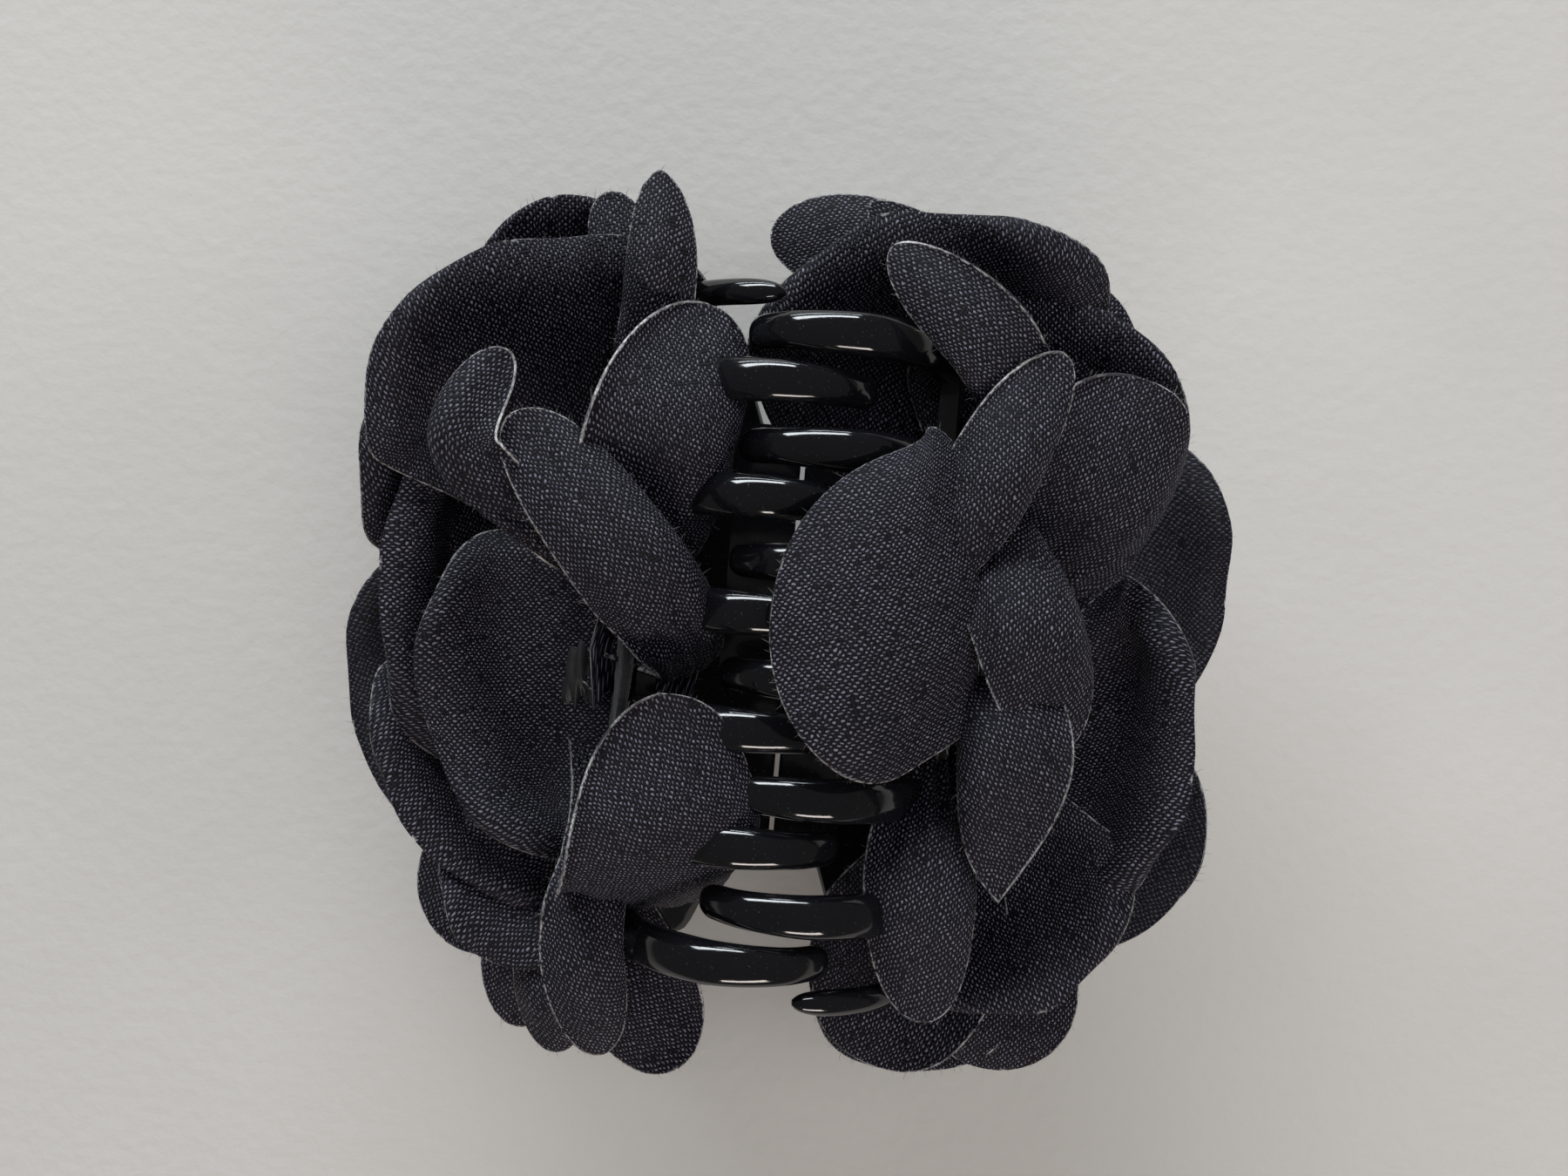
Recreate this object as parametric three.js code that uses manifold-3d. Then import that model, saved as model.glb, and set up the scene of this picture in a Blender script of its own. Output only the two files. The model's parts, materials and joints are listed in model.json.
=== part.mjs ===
// A flower hair clip: two identical moulded claw jaws on one steel pin, closed by a torsion spring,
// with a loose rose of cut cloth petals glued to the outside of each jaw.
// Millimetres. +Z points from the finger levers to the teeth, and Y runs along the hinge pin.
import * as THREE from "three";
import { mergeVertices } from "three/addons/utils/BufferGeometryUtils.js";
import Module from "manifold-3d";

const wasm = await Module();
wasm.setup();

// ---- driving dimensions ----
const HINGE_HEIGHT = 21; // pin axis above the lever feet
const PIN_OFFSET = [0.3, -1.9]; // the pin's middle from the middle of the clip's bounds, in X and Y
const TOOTH_PITCH = 12.9;
const TOOTH_COUNT = 6;
const FIRST_TOOTH_Y = 29.3; // the left jaw's first tooth; the right jaw is the same moulding turned round
const TOOTH_WIDTH = 5;
const TOOTH_THICKNESS = 3.6;
const WALL = 2.4; // plate and lever thickness
const PLATE_HALF_LENGTH = 39.6;
const WAIST_HALF_LENGTH = 24;
const LEVER_HALF_WIDTH = 11.5;
const GUARD_DEPTH = 9.2;
const GUARD_HALF_LENGTH = 28;
const PIN_RADIUS = 0.9;
const PIN_HOLE_RADIUS = 0.98;
const EAR_RADIUS = 2.9;
const EAR_THICKNESS = 2.6;
const OUTER_EAR_Y = 11.6;
const INNER_EAR_Y = -8.4;
const WIRE_RADIUS = 0.5;
const COIL_RADIUS = 2.2;
const COIL_TURNS = 6;
const COIL_HALF_LENGTH = 5.4;
const FELT_THICKNESS = 1.2;
const PETAL_THICKNESS = 0.8;
const GAP = 0.3; // between pieces that touch

// ---- materials ----
const plastic = new THREE.MeshStandardMaterial({ color: 0x0a0a0c, roughness: 0.12, metalness: 0 });
const steel = new THREE.MeshStandardMaterial({ color: 0x8f9296, roughness: 0.3, metalness: 1 });
const felt = new THREE.MeshStandardMaterial({ color: 0x0b0b0d, roughness: 1, metalness: 0 });
const glue = new THREE.MeshStandardMaterial({ color: 0x121214, roughness: 0.35, metalness: 0 });
const crepe = new THREE.MeshStandardMaterial({ color: 0x101015, roughness: 0.85, metalness: 0 });

// ---- solids ----
// A three.js geometry as a manifold-3d solid, after vertices nearer than tolerance are merged.
function solidOf(geometry, tolerance = 1e-4) {
  const bare = geometry.clone();
  bare.deleteAttribute("normal");
  bare.deleteAttribute("uv");
  const merged = mergeVertices(bare, tolerance);
  return new wasm.Manifold(
    new wasm.Mesh({
      numProp: 3,
      vertProperties: new Float32Array(merged.attributes.position.array),
      triVerts: new Uint32Array(merged.index.array),
    }),
  );
}

function geometryOf(solid) {
  const mesh = solid.getMesh();
  const geometry = new THREE.BufferGeometry();
  geometry.setAttribute("position", new THREE.BufferAttribute(mesh.vertProperties, 3));
  geometry.setIndex(new THREE.BufferAttribute(mesh.triVerts, 1));
  return geometry;
}

const join = (solids) => solids.reduce((whole, next) => whole.add(next));

function largestBody(solid) {
  const bodies = solid.decompose();
  return bodies.reduce((best, body) => (body.volume() > best.volume() ? body : best));
}

function meshOf(name, geometry, material) {
  const mesh = new THREE.Mesh(geometry, material);
  mesh.name = name;
  return mesh;
}

// Moves every vertex of a geometry to place(vertex).
function bend(geometry, place) {
  const position = geometry.attributes.position;
  const vertex = new THREE.Vector3();
  for (let i = 0; i < position.count; i++) {
    vertex.fromBufferAttribute(position, i);
    place(vertex);
    position.setXYZ(i, vertex.x, vertex.y, vertex.z);
  }
  return geometry;
}

// ---- the jaw's side profile: the middle of its wall, from the tooth tip to the lever's end ----
const profile = new THREE.CatmullRomCurve3(
  [
    [7.4, 54.6], // tooth tip, past the clip's middle
    [2.2, 59.4],
    [-5.2, 60.3], // top of the tooth
    [-12, 55.6], // shoulder
    [-17.2, 45],
    [-16.4, 32.5], // back of the plate
    [-10.4, 25.6],
    [-5.2, HINGE_HEIGHT], // waist, beside the pin
    [-7.4, 14.5],
    [-12.6, 7],
    [-18.4, -0.6], // lever end, below the floor until the foot is cut flat
  ].map(([x, z]) => new THREE.Vector3(x, 0, z)),
  false,
  "centripetal",
);
const alongAt = (x, z) => {
  // share of the profile's length at its nearest point to (x, z)
  let best = 0;
  let least = Infinity;
  for (let i = 0; i <= 400; i++) {
    const point = profile.getPointAt(i / 400);
    const distance = Math.hypot(point.x - x, point.z - z);
    if (distance < least) [least, best] = [distance, i / 400];
  }
  return best;
};
const PLATE_EDGE = alongAt(-16.3, 48);
const TOOTH_ROOT = alongAt(-17.2, 43); // teeth run a little way down the plate
const WAIST = alongAt(-5.2, HINGE_HEIGHT);
const UP = new THREE.Vector3(0, 1, 0);

// A bar that follows the profile from one share of its length to another. halfWidth and halfThickness are
// functions of the share travelled; squareness 1 gives a round section and larger values a squarer one.
// Four sides give a plain box section.
function profileBar({ from, to, y = 0, halfWidth, halfThickness, lift = () => 0, squareness = 1, sides = 10, steps = 12 }) {
  const round = () => new THREE.CylinderGeometry(1, 1, 1, sides, steps);
  const bar = sides === 4 ? new THREE.BoxGeometry(2, 1, 2, 1, steps, 1) : round();
  const squared = (v) => (Math.abs(v) < 1e-6 ? 0 : Math.sign(v) * Math.abs(v) ** (1 / squareness));
  return bend(bar, (vertex) => {
    const share = vertex.y + 0.5;
    const along = from + (to - from) * share;
    const point = profile.getPointAt(along);
    const tangent = profile.getTangentAt(along);
    const normal = new THREE.Vector3().crossVectors(UP, tangent);
    const across = squared(vertex.x) * halfWidth(share);
    const out = squared(vertex.z) * halfThickness(share) + lift(share);
    vertex.copy(point).addScaledVector(normal, out);
    vertex.y = y + across;
  });
}

const smooth = (from, to, v) => {
  const t = Math.min(Math.max((v - from) / (to - from), 0), 1);
  return t * t * (3 - 2 * t);
};
const roundedEnd = (share, reach) => Math.sqrt(1 - Math.max(0, 1 - share / reach) ** 2 * 0.9);

// ---- one jaw, the left one ----
function tooth(y) {
  const growing = (share, least) => (least + (1 - least) * smooth(0, 0.5, share)) * roundedEnd(share, 0.12);
  return profileBar({
    from: 0,
    to: TOOTH_ROOT,
    y,
    halfWidth: (share) => (TOOTH_WIDTH / 2) * growing(share, 0.78),
    halfThickness: (share) => (TOOTH_THICKNESS / 2) * growing(share, 0.7),
    squareness: 1.25,
    sides: 8,
    steps: 10,
  });
}

// The short tooth at the plate's end, set a little inside the others.
function endTooth() {
  return profileBar({
    from: alongAt(-4.2, 60.4),
    to: TOOTH_ROOT,
    y: PLATE_HALF_LENGTH,
    halfWidth: (share) => 1.5 * roundedEnd(share, 0.3),
    halfThickness: (share) => 1.5 * roundedEnd(share, 0.3),
    lift: (share) => -3.2 * (1 - smooth(0, 0.9, share)),
    sides: 8,
    steps: 6,
  });
}

function plate() {
  return profileBar({
    from: PLATE_EDGE,
    to: WAIST + 0.02,
    halfWidth: (share) => {
      const narrowing = smooth(0.7, 1, share);
      return (PLATE_HALF_LENGTH * (1 - narrowing) + WAIST_HALF_LENGTH * narrowing) * (0.965 + 0.035 * smooth(0, 0.12, share));
    },
    halfThickness: () => WALL / 2,
    squareness: 3,
    sides: 12,
    steps: 10,
  });
}

function lever() {
  return profileBar({
    from: WAIST - 0.03,
    to: 1,
    halfWidth: (share) => LEVER_HALF_WIDTH * (1 + 0.2 * (1 - smooth(0, 0.4, share))) * roundedEnd(1 - share, 0.2),
    halfThickness: () => WALL / 2,
    squareness: 3,
    sides: 12,
    steps: 8,
  });
}

// A shelf over the spring, nearly to the clip's middle, that keeps hair out of the hinge.
function hingeGuard() {
  return new THREE.BoxGeometry(GUARD_DEPTH, 2 * GUARD_HALF_LENGTH, 1.5).translate(-GUARD_DEPTH / 2 - GAP, 0, 25);
}

function gripRidge(share) {
  const along = WAIST + (1 - WAIST) * share;
  const point = profile.getPointAt(along);
  const normal = new THREE.Vector3().crossVectors(UP, profile.getTangentAt(along));
  const ridge = new THREE.CylinderGeometry(0.55, 0.55, LEVER_HALF_WIDTH * 1.3, 6, 1);
  return ridge.translate(point.x + normal.x * (WALL / 2), 0, point.z + normal.z * (WALL / 2));
}

function ear(y) {
  const disc = new THREE.CylinderGeometry(EAR_RADIUS, EAR_RADIUS, EAR_THICKNESS, 16);
  const web = new THREE.BoxGeometry(5.2, EAR_THICKNESS, EAR_RADIUS * 1.9);
  return join([solidOf(disc.translate(0, y, HINGE_HEIGHT)), solidOf(web.translate(-2.8, y, HINGE_HEIGHT))]);
}

function buildJaw() {
  const teeth = Array.from({ length: TOOTH_COUNT }, (_, i) => solidOf(tooth(FIRST_TOOTH_Y - i * TOOTH_PITCH)));
  const ridges = [0.42, 0.54, 0.66, 0.78].map((share) => solidOf(gripRidge(share)));
  const sheets = [endTooth(), plate(), lever(), hingeGuard()].map((shape) => solidOf(shape));
  const body = join([...teeth, ...sheets, ...ridges, ear(OUTER_EAR_Y), ear(INNER_EAR_Y)]);
  const bore = new THREE.CylinderGeometry(PIN_HOLE_RADIUS, PIN_HOLE_RADIUS, 40, 24);
  const pinHole = solidOf(bore.translate(0, 0, HINGE_HEIGHT));
  const floor = solidOf(new THREE.BoxGeometry(120, 120, 20).translate(0, 0, -10));
  return geometryOf(body.subtract(pinHole).subtract(floor));
}

// ---- hinge ----
const PIN_HALF_LENGTH = OUTER_EAR_Y + EAR_THICKNESS / 2 + 0.4;

function hingePin() {
  const shank = new THREE.CylinderGeometry(PIN_RADIUS, PIN_RADIUS, 2 * PIN_HALF_LENGTH + 1.2, 24);
  const head = new THREE.CylinderGeometry(1.7, 1.35, 0.9, 24).rotateX(Math.PI);
  const whole = solidOf(shank.translate(0, 0.6, 0)).add(solidOf(head.translate(0, -PIN_HALF_LENGTH - 0.4, 0)));
  return geometryOf(whole).translate(0, 0, HINGE_HEIGHT);
}

function pinCap() {
  const ring = new THREE.CylinderGeometry(1.4, 1.7, 0.9, 24);
  const hole = new THREE.CylinderGeometry(PIN_HOLE_RADIUS, PIN_HOLE_RADIUS, 3, 24);
  return geometryOf(solidOf(ring).subtract(solidOf(hole))).translate(0, PIN_HALF_LENGTH + 0.5, HINGE_HEIGHT);
}

// The coil runs along the pin, and each end leaves it as a leg that presses on the inside of a lever.
function torsionSpring() {
  const legEnd = { x: 7.2, z: 10.3 };
  const points = [new THREE.Vector3(-legEnd.x, -COIL_HALF_LENGTH, legEnd.z)];
  const start = Math.PI * 0.86;
  const turns = COIL_TURNS + 0.28;
  const count = 12 * COIL_TURNS;
  for (let i = 0; i <= count; i++) {
    const share = i / count;
    const angle = start - share * turns * 2 * Math.PI;
    const y = -COIL_HALF_LENGTH + 2 * COIL_HALF_LENGTH * share;
    points.push(new THREE.Vector3(COIL_RADIUS * Math.cos(angle), y, HINGE_HEIGHT + COIL_RADIUS * Math.sin(angle)));
  }
  points.push(new THREE.Vector3(legEnd.x, COIL_HALF_LENGTH, legEnd.z));
  const section = new THREE.Shape(
    Array.from({ length: 5 }, (_, i) => {
      const angle = (i / 5) * 2 * Math.PI;
      return new THREE.Vector2(WIRE_RADIUS * Math.cos(angle), WIRE_RADIUS * Math.sin(angle));
    }),
  );
  const path = new THREE.CatmullRomCurve3(points, false, "centripetal");
  return new THREE.ExtrudeGeometry(section, { extrudePath: path, steps: 96, bevelEnabled: false });
}

// ---- flower backing on a jaw: a felt oval, and the mound of glue that holds the petals ----
const FELT_FROM = alongAt(-15.6, 49);
const FELT_TO = alongAt(-14, 28.4);

function feltPad() {
  return profileBar({
    from: FELT_FROM,
    to: FELT_TO,
    halfWidth: (share) => 25 * Math.sqrt(Math.max(0.12, 1 - (2 * share - 1) ** 2)),
    halfThickness: () => FELT_THICKNESS / 2,
    lift: () => TOOTH_THICKNESS / 2 + GAP + FELT_THICKNESS / 2,
    squareness: 4,
    sides: 12,
    steps: 8,
  });
}

const MOUND = { x: 24.5, z: 39.5, halfLength: 19, halfHeight: 7, halfDepth: 3.2 };

function glueMound(margin = 0) {
  const mound = new THREE.SphereGeometry(1, 14, 8);
  mound.scale(MOUND.halfDepth + margin, MOUND.halfLength + margin, MOUND.halfHeight + margin);
  return mound.translate(-MOUND.x, 0, MOUND.z);
}

// ---- petals ----
// A petal is a round-ended piece of cloth. Its rib runs from the glue mound through root, belly and tip;
// face is the way its inner side looks; bend curls its left and right edges towards face (or away, when
// negative); lip rolls its tip back; twist turns it about the rib; curl rolls the hems of its left and right
// edges; a larger point sharpens its tip. Seen from the face side with the tip up, left is left.
const DEGREE = Math.PI / 180;
const RIB_STEPS = 24;
const WIDEST = 0.62; // share of the rib's length where a petal is widest

// Where a petal's narrow end is glued: the part of the mound nearest its root.
function gluePoint([x, y, z]) {
  const height = Math.max(-0.7, Math.min(0.7, (z - 40) / 14));
  return new THREE.Vector3(Math.sign(x) * MOUND.x, y * 0.55, MOUND.z + height * MOUND.halfHeight);
}

// The rib's places and frames. Its normal is face's at the widest part, carried both ways without twisting.
function petalRib({ root, belly, tip, face, lip, twist }) {
  const places = [root, belly, tip].map((p) => new THREE.Vector3(...p));
  const curve = new THREE.CatmullRomCurve3([gluePoint(root), ...places], false, "centripetal");
  const tangents = Array.from({ length: RIB_STEPS + 1 }, (_, i) => curve.getTangentAt(i / RIB_STEPS));
  const square = (v, tangent) => v.clone().addScaledVector(tangent, -tangent.dot(v)).normalize();
  const middle = Math.round(WIDEST * RIB_STEPS);
  const normals = [];
  normals[middle] = square(new THREE.Vector3(...face), tangents[middle]);
  for (let i = middle + 1; i <= RIB_STEPS; i++) normals[i] = square(normals[i - 1], tangents[i]);
  for (let i = middle - 1; i >= 0; i--) normals[i] = square(normals[i + 1], tangents[i]);
  const place = gluePoint(root);
  return tangents.map((tangent, i) => {
    const share = i / RIB_STEPS;
    const normal = normals[i].applyAxisAngle(tangent, twist * DEGREE * (share - WIDEST));
    const across = new THREE.Vector3().crossVectors(tangent, normal);
    const roll = lip * DEGREE * Math.max(0, (share - 0.7) / 0.3) ** 2;
    tangent.applyAxisAngle(across, roll);
    normal.applyAxisAngle(across, roll);
    const frame = { place: place.clone(), normal, across };
    place.addScaledVector(tangent, curve.getLength() / RIB_STEPS);
    return frame;
  });
}

const petalShare = (s, point) => {
  const x = Math.max(0, (s - WIDEST) / (1 - WIDEST));
  return s < WIDEST ? 0.22 + 0.78 * smooth(0, 1, s / WIDEST) : (1 - x * x) ** point;
};

// The point of the petal at share s of its length and t (-1 to 1) of its half width.
function petalPoint(petal, rib, s, t) {
  const at = Math.min(s, 0.9999) * RIB_STEPS;
  const [before, after] = [rib[Math.floor(at)], rib[Math.floor(at) + 1]];
  const mix = (key) => before[key].clone().lerp(after[key], at - Math.floor(at));
  const [point, normal, across] = [mix("place"), mix("normal"), mix("across")];
  const reach = petalShare(s, petal.point) * (petal.width / 2) * Math.abs(t);
  const side = Math.sign(t);
  const turn = petal.bend[side < 0 ? 0 : 1] * DEGREE;
  const hem = petal.curl[side < 0 ? 0 : 1] * DEGREE * smooth(0.25, 0.6, s);
  const pieces = 16;
  for (let i = 0; i < pieces; i++) {
    const done = (i + 0.5) / pieces;
    const curled = Math.max(0, (Math.abs(t) * done - 0.68) / 0.32) ** 1.4;
    const angle = turn * ((reach * done) / (petal.width / 2)) ** 1.6 + hem * curled;
    point.addScaledVector(across, (side * Math.cos(angle) * reach) / pieces);
    point.addScaledVector(normal, (Math.sin(angle) * reach) / pieces);
  }
  return point;
}

function petalSolid(petal, thickness) {
  const rib = petalRib(petal);
  const sheet = new THREE.BoxGeometry(1, 1, 1, 4, 5, 1);
  const small = 0.01;
  return solidOf(
    bend(sheet, (vertex) => {
      const t = vertex.x * 2;
      const s = 0.1 + 0.88 * (vertex.y + 0.5);
      const out = vertex.z * thickness;
      const point = petalPoint(petal, rib, s, t);
      const alongS = petalPoint(petal, rib, Math.min(s + small, 0.99), t).sub(petalPoint(petal, rib, s - small, t));
      const alongT = petalPoint(petal, rib, s, Math.max(-1, t - small)).sub(petalPoint(petal, rib, s, Math.min(1, t + small)));
      const normal = alongS.cross(alongT).normalize();
      vertex.copy(point).addScaledVector(normal, out);
    }),
  );
}

const petal = (name, root, belly, tip, face, width, bendAngles, more = {}) => ({
  ...{ lip: 0, twist: 0, curl: [0, 0], point: 0.5 },
  ...{ name, root, belly, tip, face, width, bend: bendAngles },
  ...more,
});

const LEFT_PETALS = [
  petal(
    "left_petal_top_cup",
    [-26, 13, 44],
    [-31, 27, 47],
    [-34, 41, 60],
    [0.3, -0.3, 0.9],
    46,
    [75, 0],
    { lip: -60, curl: [-100, 0] },
  ),
  petal(
    "left_petal_top_inner",
    [-19, 5, 46],
    [-15, 21, 62],
    [-12, 38, 57],
    [0.2, 0, 1],
    20,
    [-10, -90],
    { curl: [50, 0] },
  ),
  petal(
    "left_petal_centre_fold",
    [-12, -4, 50],
    [-16, 6, 66],
    [-33, 23, 64],
    [0, 0, 1],
    15,
    [-60, -100],
    { curl: [40, 0] },
  ),
  petal(
    "left_petal_centre_rim",
    [-27, 10, 58],
    [-37, 19, 65],
    [-33, 30, 63],
    [0.3, 0, 1],
    10,
    [-140, 60],
    { curl: [0, 90] },
  ),
  petal(
    "left_petal_centre_cup",
    [-17, -4, 46],
    [-32, -9, 46],
    [-38, -12, 58],
    [0.2, 0, 1],
    42,
    [60, 50],
    { lip: -90, curl: [-110, -90] },
  ),
  petal(
    "left_petal_front_pouch",
    [-14, -32, 46],
    [-11, -20, 64],
    [-14, -6, 61],
    [0.2, 0.1, 1],
    25,
    [-35, -70],
    { lip: 50, curl: [60, 0] },
  ),
  petal(
    "left_petal_top_spire",
    [-20, 28, 52],
    [-18, 40, 59],
    [-19, 52, 58],
    [0.2, 0, 1],
    10,
    [-95, -60],
    { point: 0.6 },
  ),
  petal(
    "left_petal_low_finger",
    [-21, -22, 50],
    [-20, -36, 56],
    [-18, -50, 49],
    [0, 0, 1],
    11,
    [-90, -50],
    { curl: [0, 70] },
  ),
  petal(
    "left_petal_upper_wall",
    [-28, 14, 38],
    [-39, 24, 44],
    [-42, 29, 57],
    [0.4, -0.2, 0.9],
    40,
    [50, 50],
    { lip: -90, curl: [-90, -90] },
  ),
  petal(
    "left_petal_centre_wall",
    [-25, -11, 38],
    [-36, -20, 42],
    [-39, -24, 53],
    [0.3, 0.2, 0.9],
    38,
    [50, 40],
    { lip: -90, curl: [-90, -80] },
  ),
  petal(
    "left_petal_top_back",
    [-25, 30, 40],
    [-29, 42, 44],
    [-31, 46, 54],
    [0, -0.4, 0.9],
    28,
    [50, 50],
    { lip: -70, curl: [-80, -60] },
  ),
  petal("left_petal_top_sliver", [-23, 34, 48], [-23, 42, 54], [-25, 50, 53], [0, 0, 1], 10, [-80, -60]),
  petal(
    "left_petal_low_fold",
    [-24, -22, 44],
    [-29, -33, 46],
    [-31, -38, 52],
    [0, 0, 1],
    24,
    [40, 30],
    { lip: -90, curl: [-90, -60] },
  ),
  petal(
    "left_petal_outer_side",
    [-27, 4, 36],
    [-40, 5, 41],
    [-43, 5, 56],
    [0.3, 0, 0.95],
    50,
    [50, 50],
    { lip: -100, curl: [-100, -100] },
  ),
  petal("left_petal_low_back_a", [-25, -30, 38], [-28, -41, 42], [-29, -50, 39], [0, 0, 1], 13, [-70, -40]),
  petal("left_petal_low_back_b", [-23, -30, 42], [-24, -42, 48], [-24, -52, 43], [0, 0, 1], 12, [-80, -60]),
  petal(
    "left_petal_low_inner",
    [-22, -33, 40],
    [-15, -43, 43],
    [-9, -52, 42],
    [0, 0, 1],
    18,
    [40, -50],
    { lip: 40 },
  ),
  petal(
    "left_petal_upper_deep",
    [-33, 14, 32],
    [-44, 20, 35],
    [-49, 23, 42],
    [0.2, 0, 1],
    36,
    [30, 30],
    { lip: -60 },
  ),
  petal(
    "left_petal_deep_side",
    [-32, -9, 30],
    [-45, -12, 31],
    [-52, -15, 38],
    [0.1, 0, 1],
    42,
    [30, 40],
    { lip: -60, curl: [0, -60] },
  ),
  petal("left_petal_low_outer", [-29, -25, 31], [-35, -34, 33], [-40, -41, 36], [0, 0, 1], 22, [20, -20]),
  petal(
    "left_petal_under_top",
    [-28, 14, 33],
    [-33, 27, 26],
    [-36, 38, 18],
    [-0.8, -0.2, 0.5],
    34,
    [20, 20],
  ),
  petal("left_petal_under_upper", [-29, 5, 31], [-37, 9, 21], [-43, 12, 10], [-0.8, 0, 0.6], 34, [20, 20]),
  petal(
    "left_petal_under_lower",
    [-29, -8, 31],
    [-37, -12, 21],
    [-43, -16, 11],
    [-0.8, 0, 0.6],
    34,
    [20, 20],
  ),
  petal(
    "left_petal_under_low",
    [-28, -18, 33],
    [-33, -28, 26],
    [-36, -39, 18],
    [-0.8, 0.2, 0.5],
    32,
    [20, 20],
  ),
];

const RIGHT_PETALS = [
  petal(
    "right_petal_front_disc",
    [24, 5, 54],
    [11, 6, 68],
    [-2, 9, 67],
    [0, 0, 1],
    39,
    [-15, -20],
    { curl: [0, -30] },
  ),
  petal(
    "right_petal_centre_tail",
    [22, 8, 50],
    [25, -8, 62],
    [26, -27, 56],
    [0, 0, 1],
    14,
    [-30, -90],
    { twist: -40, curl: [60, 0], point: 0.9 },
  ),
  petal(
    "right_petal_centre_twist",
    [13, 6, 56],
    [20, 20, 65],
    [28, 35, 61],
    [-0.4, 0, 1],
    12,
    [-80, -90],
    { twist: 70, curl: [90, 0] },
  ),
  petal(
    "right_petal_top_roll",
    [19, 25, 40],
    [12, 40, 47],
    [8, 44, 60],
    [0, -0.5, 0.85],
    46,
    [60, 50],
    { lip: -110, curl: [-110, -110] },
  ),
  petal(
    "right_petal_top_fold",
    [27, 22, 50],
    [20, 33, 63],
    [7, 45, 61],
    [0, 0, 1],
    11,
    [-80, -20],
    { curl: [0, 60] },
  ),
  petal(
    "right_petal_centre_fold",
    [19, 17, 52],
    [26, 6, 64],
    [32, -10, 57],
    [0, 0, 1],
    15,
    [-90, -60],
    { curl: [0, 50] },
  ),
  petal(
    "right_petal_side_fold",
    [26, 6, 44],
    [34, 20, 55],
    [37, 34, 55],
    [0.2, 0, 1],
    25,
    [30, -80],
    { curl: [50, 0] },
  ),
  petal(
    "right_petal_upper_cup",
    [26, 18, 40],
    [29, 33, 44],
    [30, 39, 55],
    [-0.1, -0.2, 1],
    36,
    [60, 50],
    { lip: -80, curl: [-80, -80] },
  ),
  petal(
    "right_petal_lower_cup",
    [27, -8, 36],
    [41, -10, 40],
    [44, -11, 53],
    [-0.3, 0, 0.9],
    44,
    [60, 60],
    { lip: -110, curl: [-110, -110] },
  ),
  petal(
    "right_petal_low_shell",
    [24, -12, 38],
    [29, -29, 42],
    [32, -37, 53],
    [-0.2, 0.3, 0.9],
    34,
    [60, 50],
    { lip: -90, curl: [-100, -80] },
  ),
  petal(
    "right_petal_low_tongue",
    [19, -9, 46],
    [18, -26, 58],
    [19, -41, 53],
    [0, 0, 1],
    14,
    [-70, -40],
    { twist: 15, curl: [0, 60] },
  ),
  petal(
    "right_petal_low_inner",
    [22, -23, 40],
    [16, -39, 45],
    [10, -47, 47],
    [0, 0, 1],
    24,
    [30, 20],
    { lip: -30 },
  ),
  petal(
    "right_petal_top_tip",
    [22, 36, 42],
    [12, 46, 47],
    [5, 53, 48],
    [0, 0, 1],
    14,
    [-60, -40],
    { point: 0.8 },
  ),
  petal(
    "right_petal_top_deep",
    [26, 29, 38],
    [29, 40, 42],
    [31, 48, 42],
    [0, 0, 1],
    28,
    [-20, -30],
    { lip: -40 },
  ),
  petal("right_petal_top_centre", [22, 40, 34], [8, 48, 38], [-7, 50, 38], [0, 0, 1], 16, [-30, -30]),
  petal(
    "right_petal_low_deep",
    [22, -34, 34],
    [17, -44, 37],
    [14, -52, 38],
    [0, 0, 1],
    26,
    [20, -20],
    { lip: -30 },
  ),
  petal(
    "right_petal_low_back",
    [27, -30, 36],
    [30, -42, 40],
    [31, -51, 40],
    [0, 0, 1],
    22,
    [-30, 30],
    { lip: -30 },
  ),
  petal(
    "right_petal_deep_side",
    [34, 8, 30],
    [47, 10, 32],
    [53, 9, 38],
    [0, 0, 1],
    42,
    [30, 30],
    { lip: -60, curl: [-50, -30] },
  ),
  petal(
    "right_petal_far_deep",
    [36, -18, 30],
    [46, -24, 31],
    [51, -27, 37],
    [0, 0, 1],
    32,
    [25, 25],
    { lip: -50 },
  ),
  petal("right_petal_under_top", [28, 14, 33], [33, 27, 26], [36, 38, 18], [0.8, -0.2, 0.5], 34, [20, 20]),
  petal("right_petal_under_upper", [29, 5, 31], [37, 9, 21], [43, 12, 10], [0.8, 0, 0.6], 34, [20, 20]),
  petal("right_petal_under_lower", [29, -8, 31], [37, -12, 21], [43, -16, 11], [0.8, 0, 0.6], 34, [20, 20]),
  petal(
    "right_petal_under_low",
    [28, -18, 33],
    [33, -28, 26],
    [36, -39, 18],
    [0.8, 0.2, 0.5],
    32,
    [20, 20],
  ),
];

// What a petal has to stay clear of: both jaws' teeth and plates, taken as one band each, the felt, the
// glue, and the space between the jaws that the hair fills.
function keepOut() {
  const band = profileBar({
    from: 0,
    to: WAIST,
    halfWidth: () => PLATE_HALF_LENGTH + 2,
    halfThickness: () => TOOTH_THICKNESS / 2 + 2 * GAP,
    sides: 4,
    steps: 14,
  });
  const left = [band, glueMound(GAP), feltPad()].map((shape) => solidOf(shape));
  const right = left.map((solid) => solid.rotate([0, 0, 180]));
  const hair = new THREE.BoxGeometry(26, 2 * PLATE_HALF_LENGTH + 5.6, 28).translate(0, 0, 40);
  return join([...left, ...right, solidOf(hair)]);
}

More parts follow.
